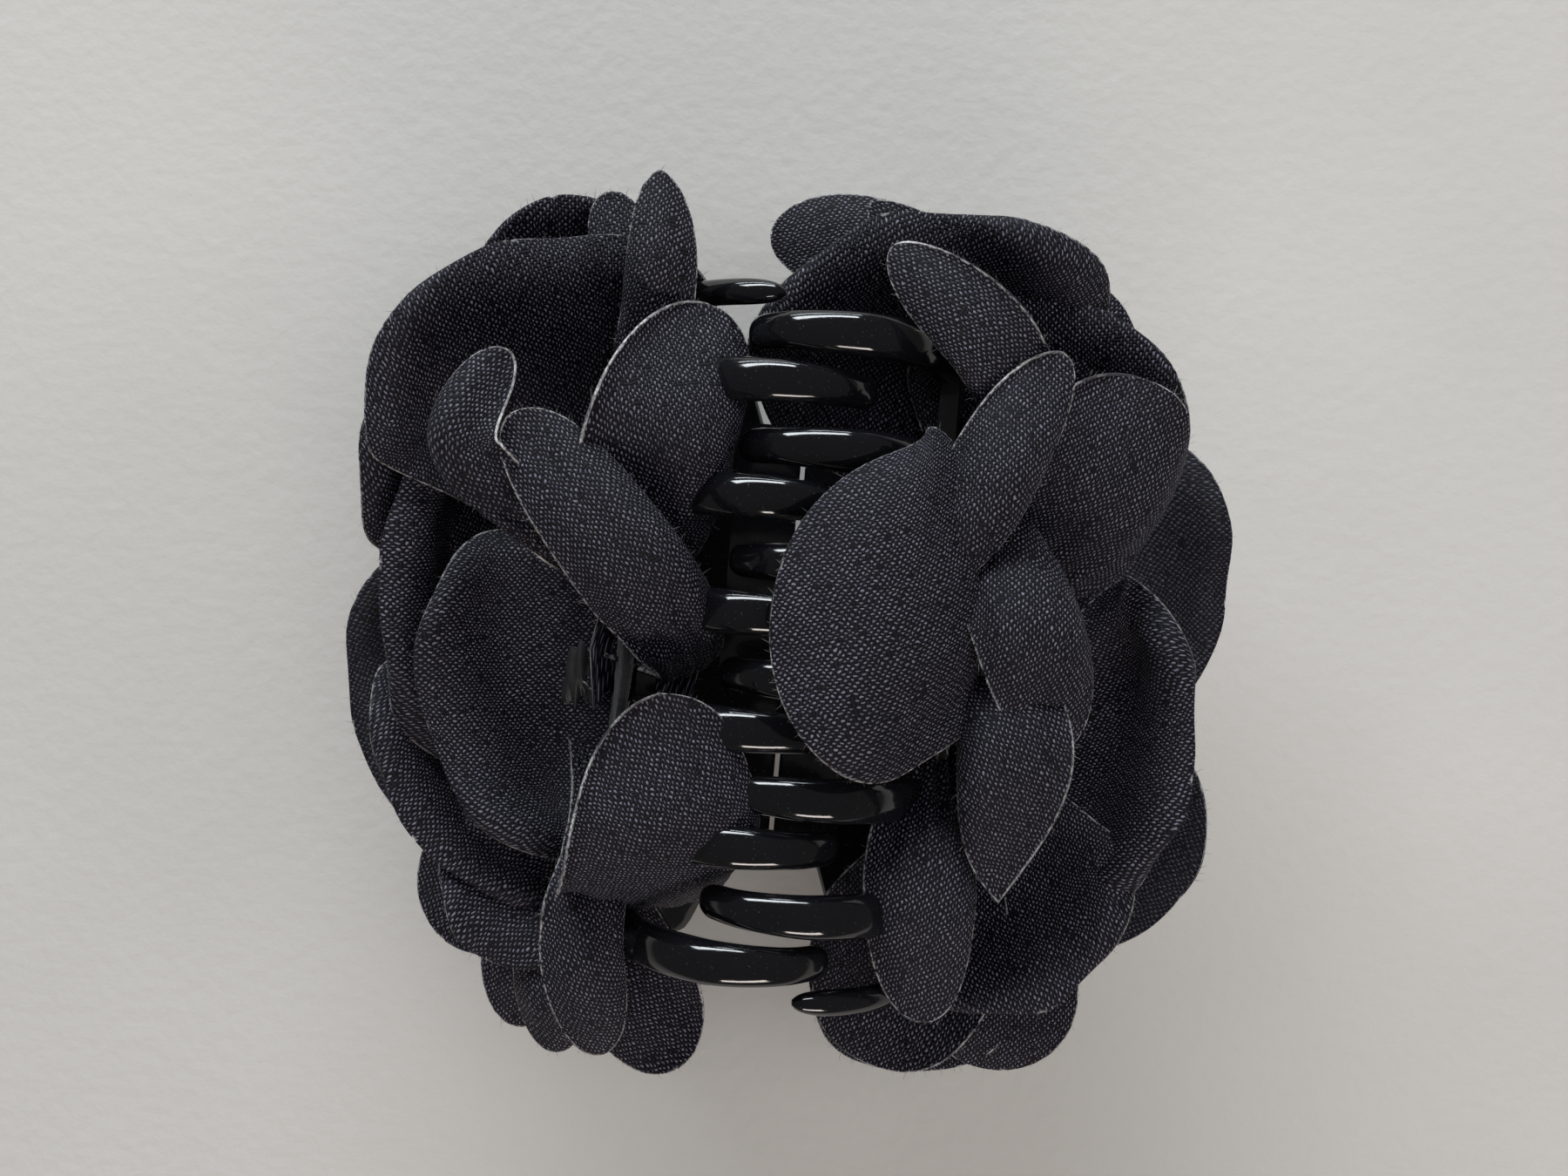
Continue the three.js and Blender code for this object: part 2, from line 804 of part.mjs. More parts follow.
// Later petals give way to earlier ones, which keep a gap round them.
function buildPetals(petals) {
  const blocked = [keepOut()];
  return petals.map((one) => {
    let solid = petalSolid(one, PETAL_THICKNESS);
    for (const other of blocked) solid = solid.subtract(other);
    solid = largestBody(solidOf(geometryOf(largestBody(solid)), 1e-3));
    blocked.push(solid);
    for (const wider of [0, 2 * GAP]) {
      blocked.push(petalSolid({ ...one, width: one.width + wider }, PETAL_THICKNESS + 4 * GAP));
    }
    return meshOf(one.name, geometryOf(solid), crepe);
  });
}

// ---- assembly ----
const clip = new THREE.Group();
const jaw = buildJaw();
const turned = (mesh) => {
  mesh.rotation.z = Math.PI;
  return mesh;
};
clip.add(
  meshOf("left_jaw", jaw, plastic),
  turned(meshOf("right_jaw", jaw, plastic)),
  meshOf("hinge_pin", hingePin(), steel),
  meshOf("pin_cap", pinCap(), steel),
  meshOf("torsion_spring", torsionSpring(), steel),
  meshOf("left_felt_pad", feltPad(), felt),
  turned(meshOf("right_felt_pad", feltPad(), felt)),
  meshOf("left_glue_mound", glueMound(), glue),
  turned(meshOf("right_glue_mound", glueMound(), glue)),
  ...buildPetals([...LEFT_PETALS, ...RIGHT_PETALS]),
);

// The origin is the middle of the clip's bottom; the flowers aren't alike, so the pin is a little off it.
clip.position.set(...PIN_OFFSET, 0);

export default clip;
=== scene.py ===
# %% [markdown]
# # A black flower hair clip
# This scene dresses a packed hair clip: two moulded claw jaws on one sprung pin, and a loose rose of cut
# crepe petals glued to the outside of each jaw. The imported model, the frame, fixes every size and joint.
# Blender adds what it lacks: smooth mouldings, a real coil, woven cloth, frayed edges and the finishes.
# The frame is loaded first.

# %% Load the frame
import bpy
import bmesh
import json
import random
from math import atan2, cos, floor, hypot, pi, radians, sin, sqrt
import numpy as np
from mathutils import Matrix, Vector, noise


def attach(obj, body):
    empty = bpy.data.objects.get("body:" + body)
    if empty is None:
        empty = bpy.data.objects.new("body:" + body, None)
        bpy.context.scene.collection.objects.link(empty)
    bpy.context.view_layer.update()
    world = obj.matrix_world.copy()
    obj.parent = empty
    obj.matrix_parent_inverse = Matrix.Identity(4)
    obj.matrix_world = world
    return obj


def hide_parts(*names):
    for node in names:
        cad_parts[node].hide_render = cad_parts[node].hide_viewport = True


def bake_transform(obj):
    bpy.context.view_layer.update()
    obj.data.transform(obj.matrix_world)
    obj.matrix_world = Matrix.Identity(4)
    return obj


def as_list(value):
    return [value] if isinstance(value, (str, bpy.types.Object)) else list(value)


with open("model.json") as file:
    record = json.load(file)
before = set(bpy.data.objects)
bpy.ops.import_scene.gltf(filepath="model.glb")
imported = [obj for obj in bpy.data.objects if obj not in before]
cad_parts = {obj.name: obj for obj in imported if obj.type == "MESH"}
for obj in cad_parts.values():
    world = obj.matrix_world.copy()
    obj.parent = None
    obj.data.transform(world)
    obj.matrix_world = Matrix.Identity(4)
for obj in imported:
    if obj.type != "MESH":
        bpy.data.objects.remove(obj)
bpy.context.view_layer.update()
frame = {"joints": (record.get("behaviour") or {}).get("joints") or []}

# %% [markdown]
# ## Units and the hinge's frame
# The maker's sizes are in millimetres from the hinge pin's middle, with the lever feet at height 0. Blender
# works in metres from the middle of the clip's bottom. One function turns the first into the second, so
# that every piece below can use the maker's own numbers.

# %% Millimetres to the frame, and new objects
MM = 0.001
hinge = Vector(frame["joints"][0]["pos_m"])
hinge_height = hinge.z / MM


def placed(x, y, z):
    """A point given in millimetres from the pin's middle, in the frame's metres."""
    return Vector((x * MM + hinge.x, y * MM + hinge.y, z * MM))


def linked(name, data):
    """A new object in the scene, at the origin, with that mesh, camera or light."""
    made = bpy.data.objects.new(name, data)
    bpy.context.collection.objects.link(made)
    return made


print("pin at", tuple(round(v / MM, 2) for v in hinge), "mm")

# %% [markdown]
# ## Camera
# The clip is seen from straight above, so that the teeth and the tops of both flowers show, and it lies
# turned a few degrees clockwise. A camera close to a small object sees its high parts larger than its low
# ones. The distance is therefore set first, and then the lens that frames the clip from there.

# %% Camera
camera = linked("camera", bpy.data.cameras.new("camera"))
camera.data.sensor_width, camera.data.lens = 36, 35.8
camera.data.clip_start = 0.01  # metres
camera.location = placed(-1.1, 6.6, 232)
camera.rotation_euler = (0, 0, radians(5))
bpy.context.scene.camera = camera
print("camera", round(camera.location.z / MM), "mm above the floor, lens", camera.data.lens)

# %% [markdown]
# ## Floor and light
# The floor is a plain pale sheet. Black cloth and black gloss plastic show only what they reflect, so the
# lights do most of the work. A long window beyond the clip draws a bright streak along each tooth and rakes
# over the petals, which shows their folds. A lower one adds a thin line above the streak, and a warm one on
# the near side lights the teeth's lower edges. Two soft lights, overhead and to the right, fill the cloth
# and the floor, and the gloss doesn't show them. The surroundings are dim, which keeps the black deep.

# %% Floor
def mesh_object(name, points, faces):
    """A mesh object at the origin, from points in metres."""
    mesh = bpy.data.meshes.new(name)
    mesh.from_pydata([tuple(p) for p in points], [], faces)
    mesh.update()
    return linked(name, mesh)


FLOOR_REACH = 1.6  # metres from the middle to each side
corners = [(-1, -1), (1, -1), (1, 1), (-1, 1)]
floor_points = [(FLOOR_REACH * x, FLOOR_REACH * y, 0) for x, y in corners]
ground = mesh_object("floor", floor_points, [(0, 1, 2, 3)])

# %% Lights
def window(name, direction, distance, size, power, colour, streak=True):
    """A rectangular light that lies in that direction from the clip, in metres and watts.

    streak lets glossy surfaces show it.
    """
    data = bpy.data.lights.new(name, "AREA")
    data.shape = "RECTANGLE"
    data.size, data.size_y = size
    data.energy = power
    data.color = colour
    light = linked(name, data)
    aim = placed(0, 0, 45)
    light.location = aim + Vector(direction).normalized() * distance
    light.rotation_euler = (aim - light.location).to_track_quat("-Z", "Y").to_euler()
    light.visible_glossy = streak


COOL, COOLER, NEUTRAL, CREAM, WARM = (
    (0.9, 0.96, 1.0), (0.86, 0.94, 1.0), (1.0, 0.985, 0.965), (1.0, 0.985, 0.96), (1.0, 0.9, 0.84)
)
window("window_high", (-0.30, 0.85, 0.50), 1.1, (1.1, 0.24), 16.0, COOL)
window("overhead", (0.2, 0.08, 1.0), 1.5, (0.9, 0.9), 9.5, NEUTRAL, streak=False)
window("window_low", (-0.25, 0.95, 0.14), 1.1, (1.0, 0.06), 3.4, COOLER)
window("side_fill", (0.9, 0.15, 0.9), 1.3, (0.7, 0.7), 4.0, CREAM, streak=False)
window("warm_fill", (0.2, -0.95, 0.5), 1.0, (0.6, 0.2), 5.5, WARM)

world = bpy.data.worlds.new("surroundings")
world.use_nodes = True
background = world.node_tree.nodes["Background"].inputs
background["Color"].default_value = (*CREAM, 1)
background["Strength"].default_value = 0.1
bpy.context.scene.world = world
bpy.context.scene.view_settings.view_transform = "Standard"

# %% [markdown]
# ## Writing node trees
# A pattern such as a weave is arithmetic on coordinates. Adding forty Math nodes by hand hides the formula,
# so a small class wraps a socket and gives it Python's operators: an expression then adds its own Math
# nodes. Every other node comes from one method that takes the node's type, its settings and its sockets.
# The same class serves materials and geometry, because both kinds of tree use the same Math node.

# %% Sockets as numbers
class Wire:
    """An output socket that can be used in an expression."""

    def __init__(self, tree, socket):
        self.tree, self.socket = tree, socket

    def maths(self, operation, *others, first=None):
        """A Math node whose first value is this wire, unless first is given."""
        values = (self if first is None else first, *others)
        return self.tree.add("ShaderNodeMath", {"operation": operation}, dict(enumerate(values))).out(0)

    def __add__(self, other):
        return self.maths("ADD", other)

    def __sub__(self, other):
        return self.maths("SUBTRACT", other)

    def __mul__(self, other):
        return self.maths("MULTIPLY", other)

    def __pow__(self, other):
        return self.maths("POWER", other)

    def __gt__(self, other):
        return self.maths("GREATER_THAN", other)

    def __lt__(self, other):
        return self.maths("LESS_THAN", other)

    def __rsub__(self, other):
        return self.maths("SUBTRACT", self, first=other)

    __radd__, __rmul__ = __add__, __mul__

    def clamped(self):
        return self.maths("MINIMUM", 1.0).maths("MAXIMUM", 0.0)

# %% Trees and materials
class Made:
    """A node that was just added, with its output sockets as wires."""

    def __init__(self, tree, node):
        self.tree, self.node = tree, node

    def out(self, key=0):
        return Wire(self.tree, self.node.outputs[key])


class Tree:
    """A node tree that is written in code."""

    def __init__(self, tree):
        self.tree = tree
        self.tree.nodes.clear()

    def add(self, kind, settings=None, inputs=None):
        """A new node of that kind. inputs are values, or wires to link, by the socket's name or number."""
        node = self.tree.nodes.new(kind)
        for name, value in (settings or {}).items():
            setattr(node, name, value)
        for key, value in (inputs or {}).items():
            if isinstance(value, Wire):
                self.tree.links.new(value.socket, node.inputs[key])
            else:
                node.inputs[key].default_value = value
        return Made(self, node)

    def mix_colours(self, factor, a, b):
        """Colour a where factor is 0 and b where it is 1."""
        settings = {"data_type": "RGBA", "clamp_factor": True}
        return self.add("ShaderNodeMix", settings, {0: factor, 6: a, 7: b}).out(2)

    def noise(self, vector, scale, detail=2.0, roughness=0.5):
        sockets = {"Vector": vector, "Scale": scale, "Detail": detail, "Roughness": roughness}
        return self.add("ShaderNodeTexNoise", {}, sockets).out("Fac")

    def place(self):
        """The point being shaded, in metres in its object."""
        return self.add("ShaderNodeTexCoord").out("Object")

    def pushed(self, vector, where, scale, detail, strength):
        """The vector moved about by the coloured noise at where."""
        noise_sockets = {"Vector": where, "Scale": scale, "Detail": detail}
        push = self.add("ShaderNodeTexNoise", {}, noise_sockets).out("Color")
        push = self.add("ShaderNodeVectorMath", {"operation": "SCALE"}, {0: push, "Scale": strength}).out(0)
        return self.add("ShaderNodeVectorMath", {"operation": "ADD"}, {0: vector, 1: push}).out(0)

    def bump(self, height, strength, distance):
        """A normal bent by height, where a height of 1 stands that many metres out."""
        sockets = {"Strength": strength, "Distance": distance, "Height": height}
        return self.add("ShaderNodeBump", {}, sockets).out("Normal")


def material(name, describe, slot_colour=(0.02, 0.02, 0.025)):
    """A material whose surface is what describe(tree) returns: sockets of a Principled shader."""
    made = bpy.data.materials.new(name)
    made.use_nodes = True
    made.diffuse_color = (*slot_colour, 1)
    tree = Tree(made.node_tree)
    surface = tree.add("ShaderNodeBsdfPrincipled", {}, describe(tree))
    tree.add("ShaderNodeOutputMaterial", {}, {"Surface": surface.out("BSDF")})
    print("material", name, "with", len(made.node_tree.nodes), "nodes")
    return made

# %% [markdown]
# ## The floor's finish
# A floor that is one flat colour looks like no surface at all. A faint, large mottling and a very low
# bump give it the softness of a pale blanket without drawing the eye.

# %% Floor material
def floor_finish(tree):
    where = tree.place()
    colour = tree.mix_colours(tree.noise(where, 14.0, 4.0), (0.37, 0.36, 0.346, 1), (0.435, 0.423, 0.408, 1))
    normal = tree.bump(tree.noise(where, 420.0, 3.0), 0.25, 0.0008)
    return {"Base Color": colour, "Roughness": 0.95, "Specular IOR Level": 0.1, "Normal": normal}


ground.data.materials.append(material("pale_floor", floor_finish, (0.7, 0.68, 0.65)))

# %% [markdown]
# ## Hard finishes
# The jaws are injection moulded in black plastic from a polished mould. Their gloss is nearly perfect, so
# what makes them real is what spoils it: hairline scratches, dull patches where fingers have been, and a
# little dust. Those only change roughness and bump. The pin and spring are bright drawn wire, with fine
# lines along it, and the glue is a lumpy, half-gloss black.

# %% Jaw plastic
def plastic_finish(tree):
    where = tree.place()
    handled = tree.noise(where, 160.0, 3.0)
    settings = {"Vector": where, "Scale": (1.0, 14.0, 6.0), "Rotation": (0, 0.3, 0.2)}
    stretched = tree.add("ShaderNodeMapping", {}, settings).out("Vector")
    scratched = (tree.noise(stretched, 900.0, 1.0) > 0.66) * (handled * 1.6 - 0.5).clamped()
    dust = (tree.noise(where, 4200.0, 1.0) > 0.74) * 1.0
    uneven = tree.noise(where, 260.0, 2.0) * 0.5 + scratched * 0.02
    return {
        "Base Color": tree.mix_colours(dust * 0.5, (0.0035, 0.0035, 0.0045, 1), (0.05, 0.05, 0.055, 1)),
        "Roughness": (0.055 + handled * 0.07 + scratched * 0.22 + dust * 0.3).clamped(),
        "IOR": 1.53,
        "Normal": tree.bump(uneven, 0.12, 0.0003),
    }


jaw_plastic = material("black_plastic", plastic_finish)

# %% Steel and glue
def steel_finish(tree):
    where = tree.place()
    lines = tree.add("ShaderNodeMapping", {}, {"Vector": where, "Scale": (1.0, 0.06, 1.0)}).out("Vector")
    drawn = tree.noise(lines, 5200.0, 2.0)
    tarnish = tree.noise(where, 320.0, 3.0)
    return {
        "Base Color": tree.mix_colours(tarnish, (0.50, 0.50, 0.52, 1), (0.36, 0.35, 0.34, 1)),
        "Metallic": 1.0,
        "Roughness": (0.2 + drawn * 0.15 + tarnish * 0.1).clamped(),
        "Normal": tree.bump(drawn, 0.2, 0.0001),
    }


def glue_finish(tree):
    lumps = tree.noise(tree.place(), 380.0, 3.0)
    return {
        "Base Color": tree.mix_colours(lumps, (0.008, 0.008, 0.009, 1), (0.028, 0.028, 0.03, 1)),
        "Roughness": (0.25 + lumps * 0.3).clamped(),
        "Normal": tree.bump(lumps, 0.4, 0.0006),
    }


spring_steel = material("spring_steel", steel_finish, (0.45, 0.45, 0.47))
glue_black = material("black_glue", glue_finish)

# %% [markdown]
# ## Crepe
# The petals are cut from a black crepe: a plain weave of hard-twisted yarn, two and a half threads to the
# millimetre. Seen close, every place where one yarn passes over the other is a small crown, longer along the
# yarn that is on top, and the twist makes the crowns uneven in size and place. The light on the crowns is
# painted into the colour: each crown carries a pale painted highlight of uneven brightness. The weave is
# written in the petal's own UV coordinates, which are millimetres on the flat cloth, so it follows each petal
# as it curls. The heat-cut edge is a thin pale line of painted highlight, read from a second UV map that
# holds the distance to the edge.

# %% Weave
THREAD = 0.37  # millimetres from one yarn to the next


def weave(tree, flat):
    """(height, painted crown highlight) of a crepe weave at the flat cloth's coordinates, in millimetres."""
    bent = tree.pushed(flat, flat, 0.55, 2.0, 0.9)
    bent = tree.pushed(bent, flat, 2.6, 1.0, 0.22)
    axes = tree.add("ShaderNodeSeparateXYZ", {}, {0: bent})
    u, v = axes.out("X") * (1 / THREAD), axes.out("Y") * (1 / THREAD)
    column, row = u.maths("FLOOR"), v.maths("FLOOR")
    across, along = u - column - 0.5, v - row - 0.5
    cell = tree.add("ShaderNodeCombineXYZ", {}, {0: column, 1: row}).out(0)
    chance = tree.add("ShaderNodeTexWhiteNoise", {"noise_dimensions": "3D"}, {"Vector": cell}).out("Value")
    over = ((column + row).maths("FLOORED_MODULO", 2.0) < 0.5) * (chance < 0.97)
    narrow, wide = 6.5, 1.7  # how fast a crown falls off across and along the yarn on top
    fall_across = across * across * (over * (narrow - wide) + wide)
    fall_along = along * along * (over * (wide - narrow) + narrow)
    height = (1.0 - fall_across - fall_along).clamped() * (over * 0.4 + 0.6)
    # The second value is a painted highlight: bright on the crown of the yarn on top, uneven from crown to
    # crown.
    return height, (height ** 2.2) * (over * 0.85 + 0.1) * (chance * 0.9 + 0.5)

# %% [markdown]
# ## Three cloth finishes
# The crepe's colour is a nearly black ground with a painted highlight on each of the weave's crowns, and a
# painted highlight runs along its edge in patches. A thinner crepe lets a little light between its yarns. The
# cut face through the cloth and the felt have no weave, so they are made of noise.

# %% Crepe, cut edge and felt
# The crown colour is a painted highlight, the light on each yarn crown, mixed over the black ground.
def crepe_finish(sheerness=0.0, ground=(0.0012, 0.001, 0.0028), crown_highlight_colour=(0.15, 0.142, 0.19)):
    """A crepe's surface. sheerness thins the cloth between its yarns, from 0 to 1."""

    def describe(tree):
        flat = tree.add("ShaderNodeUVMap", {"uv_map": "weave"}).out("UV")
        height, painted_crown_highlights = weave(tree, flat)
        rim = tree.add("ShaderNodeUVMap", {"uv_map": "rim"}).out("UV")
        from_edge = tree.add("ShaderNodeSeparateXYZ", {}, {0: rim}).out("X")
        cloudy = tree.noise(flat, 0.22, 3.0) * 0.8 + 0.6
        # The weave's crowns get a painted highlight here, in the crown colour.
        colour = tree.mix_colours((painted_crown_highlights * cloudy).clamped(), (*ground, 1), (*crown_highlight_colour, 1))
        # A painted highlight along the heat-cut edge, in patches, mixed towards pale grey.
        painted_edge_highlight = (1.0 - from_edge * 4.0).clamped() * (tree.noise(flat, 1.1, 2.0) * 4.0 - 1.55).clamped()
        sockets = {
            "Base Color": tree.mix_colours(painted_edge_highlight * 0.9, colour, (0.5, 0.49, 0.49, 1)),
            "Roughness": (0.72 - painted_crown_highlights * 0.26).clamped(),
            "Specular IOR Level": 0.22,
            "Normal": tree.bump(height, 0.9, 0.00016),
        }
        if sheerness:
            sockets["Alpha"] = (1.0 - (1.0 - height * 2.2).clamped() * sheerness).clamped()
        return sockets

    return describe


crepe = material("crepe", crepe_finish())
# The thinner crepe's crown colour is a dimmer painted highlight.
crepe_sheer = material("crepe_sheer", crepe_finish(0.15, (0.0014, 0.0012, 0.003), (0.07, 0.068, 0.1)))


def edge_finish(tree):
    """The cut through the cloth, a hard fused line; its pale patches are a painted highlight on the loose
    ends of yarn.
    """
    where = tree.place()
    beads = tree.noise(where, 2600.0, 2.0)
    # Pale patches of painted highlight on the dark cut face.
    painted_cut_glints = (beads * 2.2 - 0.6).clamped() * (tree.noise(where, 150.0, 2.0) * 4.6 - 1.85).clamped()
    colour = tree.mix_colours(painted_cut_glints, (0.012, 0.011, 0.014, 1), (0.6, 0.59, 0.59, 1))
    return {"Base Color": colour, "Roughness": 0.7, "Normal": tree.bump(beads, 0.5, 0.0001)}


cut_edge = material("cut_edge", edge_finish)


def felt_finish(tree):
    where = tree.place()
    matted = tree.noise(where, 1500.0, 6.0, 0.7)
    pale = (matted * 1.4 - 0.3).clamped() * (tree.noise(where, 90.0, 2.0) * 0.6 + 0.5)
    return {
        "Base Color": tree.mix_colours(pale, (0.006, 0.006, 0.007, 1), (0.05, 0.05, 0.055, 1)),
        "Roughness": 0.95,
        "Sheen Weight": 0.25,
        "Specular IOR Level": 0.15,
        "Normal": tree.bump(matted, 0.8, 0.0003),
    }


felt_black = material("black_felt", felt_finish)

# %% [markdown]
# ## Curves to build along
# The jaw's wall and every petal's rib are smooth curves through a few points. A Catmull-Rom curve passes
# through all of its points, and the centripetal kind doesn't overshoot where they are close together. A
# small class samples one and gives a point and a direction at any share of its length.

# %% Smooth path
class Path:
    """A centripetal Catmull-Rom curve through points, measured by its length."""

    SAMPLES = 40  # on each stretch between two points

    def __init__(self, points):
        points = [Vector(p) for p in points]
        ends = [points[0] * 2 - points[1], *points, points[-1] * 2 - points[-2]]
        self.points = [points[0]]
        for a, b, c, d in zip(ends, ends[1:], ends[2:], ends[3:]):
            gaps = [sqrt((q - p).length) for p, q in ((a, b), (b, c), (c, d))]
            leave = ((b - a) / gaps[0] - (c - a) / (gaps[0] + gaps[1]) + (c - b) / gaps[1]) * gaps[1]
            arrive = ((c - b) / gaps[1] - (d - b) / (gaps[1] + gaps[2]) + (d - c) / gaps[2]) * gaps[1]
            for i in range(1, self.SAMPLES + 1):
                t = i / self.SAMPLES
                square = b * -3 + c * 3 - leave * 2 - arrive
                cube = b * 2 - c * 2 + leave + arrive
                self.points.append(b + leave * t + square * t**2 + cube * t**3)
        self.lengths = [0.0]
        for p, q in zip(self.points, self.points[1:]):
            self.lengths.append(self.lengths[-1] + (q - p).length)
        self.length = self.lengths[-1]

    def at(self, share):
        """The point at that share of the length."""
        wanted = min(max(share, 0.0), 1.0) * self.length
        low, high = 0, len(self.lengths) - 1
        while high - low > 1:
            middle = (low + high) // 2
            low, high = (middle, high) if self.lengths[middle] <= wanted else (low, middle)
        stretch = self.lengths[high] - self.lengths[low]
        return self.points[low].lerp(self.points[high], (wanted - self.lengths[low]) / stretch)

    def direction(self, share):
        step = 0.002
        return (self.at(min(share + step, 1)) - self.at(max(share - step, 0))).normalized()

    def nearest(self, x, z):
        """The share of the length whose point is nearest to (x, z)."""
        distance = [hypot(p.x - x, p.z - z) for p in self.points]
        return self.lengths[distance.index(min(distance))] / self.length


def smooth(low, high, value):
    t = min(max((value - low) / (high - low), 0.0), 1.0)
    return t * t * (3 - 2 * t)


def rounded_end(share, reach):
    """1 along a bar, falling to a blunt round end within reach of share 0."""
    return sqrt(1 - max(0.0, 1 - share / reach) ** 2 * 0.96)

# %% [markdown]
# ## The jaws
# A jaw is one moulding: a curved plate with six long teeth that hook over the middle, a short tooth at one
# end, a finger lever below and two ears for the pin. All of it follows one side profile, so each part is a
# bar swept along a stretch of that curve with its own width and thickness. The teeth are the part that
# shows, and they need a fine, even sweep for a clean streak of light. Sweeping is simple in mesh code: every
# bar, ear and turned part here is a row of rings of points, joined ring to ring and closed at both ends.

# %% The jaw's side view
TOOTH_PITCH, TOOTH_COUNT, FIRST_TOOTH_Y = 12.9, 6, 29.3
TOOTH_WIDTH, TOOTH_THICKNESS, WALL = 5.0, 3.6, 2.4
PLATE_HALF_LENGTH, WAIST_HALF_LENGTH, LEVER_HALF_WIDTH = 39.6, 24, 11.5

side_view = [(7.4, 54.6), (2.2, 59.4), (-5.2, 60.3), (-12, 55.6), (-17.2, 45), (-16.4, 32.5), (-10.4, 25.6)]
side_view += [(-5.2, hinge_height), (-7.4, 14.5), (-12.6, 7), (-18.4, -0.6)]
profile = Path((x, 0, z) for x, z in side_view)
plate_edge = profile.nearest(-16.3, 48)
tooth_root = profile.nearest(-17.2, 43)
waist = profile.nearest(-5.2, hinge_height)

# %% Rings
def ring(sides):
    """(cosine, sine) round a circle."""
    return [(cos(2 * pi * i / sides), sin(2 * pi * i / sides)) for i in range(sides)]


def ring_faces(sides, count, ends=True):
    """Faces that join each of count rings of points to the next, and close both ends."""
    faces = [
        (a + i, a + (i + 1) % sides, a + sides + (i + 1) % sides, a + sides + i)
        for a in range(0, (count - 1) * sides, sides)
        for i in range(sides)
    ]
    if ends:
        faces += [tuple(reversed(range(sides))), tuple(range((count - 1) * sides, count * sides))]
    return faces


def ringed(name, rings, ends=True):
    """A closed mesh through rings of points in millimetres. Without ends, the last ring is the first."""
    points, faces = [point for one in rings for point in one], ring_faces(len(rings[0]), len(rings), ends)
    made = mesh_object(name, [placed(*p) for p in points], faces)
    work = bmesh.new()
    work.from_mesh(made.data)
    bmesh.ops.remove_doubles(work, verts=work.verts, dist=1e-7)
    bmesh.ops.recalc_face_normals(work, faces=work.faces)
    work.to_mesh(made.data)
    work.free()
    return made

# %% Sweep along the profile
def off_profile(share):
    """The profile's place, direction and outward direction at that share of its length."""
    tangent = profile.direction(share)
    return profile.at(share), tangent, Vector((0, 1, 0)).cross(tangent)


def swept(name, start, end, y, half_width, half_thickness, lift=None, squareness=1.0, sides=24, steps=36):
    """A closed bar along the profile. squareness 1 is a round section."""
    section = [
        [(1 if v > 0 else -1) * abs(v) ** (1 / squareness) if abs(v) > 1e-6 else 0.0 for v in (sine, cosine)]
        for cosine, sine in ring(sides)
    ]
    rings = []
    for step in range(steps + 1):
        share = step / steps
        centre, _, outward = off_profile(start + (end - start) * share)
        raised = lift(share) if lift else 0
        rings.append([
            centre
            + outward * (depth * half_thickness(share) + raised)
            + Vector((0, y + width * half_width(share), 0))
            for width, depth in section
        ])
    return ringed(name, rings)


def tooth(name, y):
    def growing(share, least):
        return (least + (1 - least) * smooth(0, 0.5, share)) * rounded_end(share, 0.07)

    def half_width(share):
        return TOOTH_WIDTH / 2 * growing(share, 0.78)

    def half_thickness(share):
        return TOOTH_THICKNESS / 2 * growing(share, 0.7)

    return swept(name, 0, tooth_root, y, half_width, half_thickness, squareness=1.22, steps=64)

# %% [markdown]
# ## Copies in a row
# Six teeth and the levers' grip ridges are one shape repeated at an even pitch. Geometry Nodes does that:
# the pattern's object is copied to the points of a line, and the count and the step are inputs that can be
# changed afterwards. The copies are made real before the result is taken, because an export drops
# instances.

# %% Row of copies
def geometry_tree(name, inputs, build):
    """A Geometry Nodes group with those named inputs, whose output is what build(tree, wires) returns."""
    group = bpy.data.node_groups.new(name, "GeometryNodeTree")
    group.interface.new_socket("Geometry", in_out="OUTPUT", socket_type="NodeSocketGeometry")
    group.interface.new_socket("Geometry", in_out="INPUT", socket_type="NodeSocketGeometry")
    for label, kind in inputs.items():
        group.interface.new_socket(label, in_out="INPUT", socket_type=f"NodeSocket{kind}")
    tree = Tree(group)
    entry = tree.add("NodeGroupInput")
    wires = {label: entry.out(label) for label in ("Geometry", *inputs)}
    tree.add("NodeGroupOutput", {}, {0: build(tree, wires)})
    return group


def as_modified(source, name):
    """A new object whose plain mesh is the source's with its modifiers applied."""
    graph = bpy.context.evaluated_depsgraph_get()
    mesh = bpy.data.meshes.new_from_object(source.evaluated_get(graph), depsgraph=graph)
    mesh.name = name
    return linked(name, mesh)


def grown(source, group, values, name):
    """The plain mesh object that group makes of source, and source is removed."""
    modifier = source.modifiers.new(group.name, "NODES")
    modifier.node_group = group
    identifiers = {s.name: s.identifier for s in group.interface.items_tree if s.in_out == "INPUT"}
    for label, value in values.items():
        modifier[identifiers[label]] = value
    made = as_modified(source, name)
    bpy.data.objects.remove(source)
    print(name, "by", group.name, "has", len(made.data.polygons), "faces")
    return made


def finished(tree, instances, finish):
    """The instances as real geometry, with that material."""
    real = tree.add("GeometryNodeRealizeInstances", {}, {0: instances})
    return tree.add("GeometryNodeSetMaterial", {}, {0: real.out(0), "Material": finish}).out(0)


def row_of_copies(tree, wires):
    line = tree.add("GeometryNodeMeshLine", {}, {"Count": wires["Count"], "Offset": wires["Step"]})
    sockets = {"Points": line.out(0), "Instance": wires["Geometry"]}
    copies = tree.add("GeometryNodeInstanceOnPoints", {}, sockets)
    return finished(tree, copies.out(0), wires["Finish"])


in_a_row = geometry_tree("in_a_row", {"Count": "Int", "Step": "Vector", "Finish": "Material"}, row_of_copies)

# %% Hinge ears
EAR_PLACES, EAR_RADIUS, EAR_THICKNESS, EAR_CHAMFER = (11.6, -8.4), 2.9, 2.6, 0.3
EAR_WEB = 2.4  # how far the ear reaches back to the wall
BORE_RADIUS = 0.98


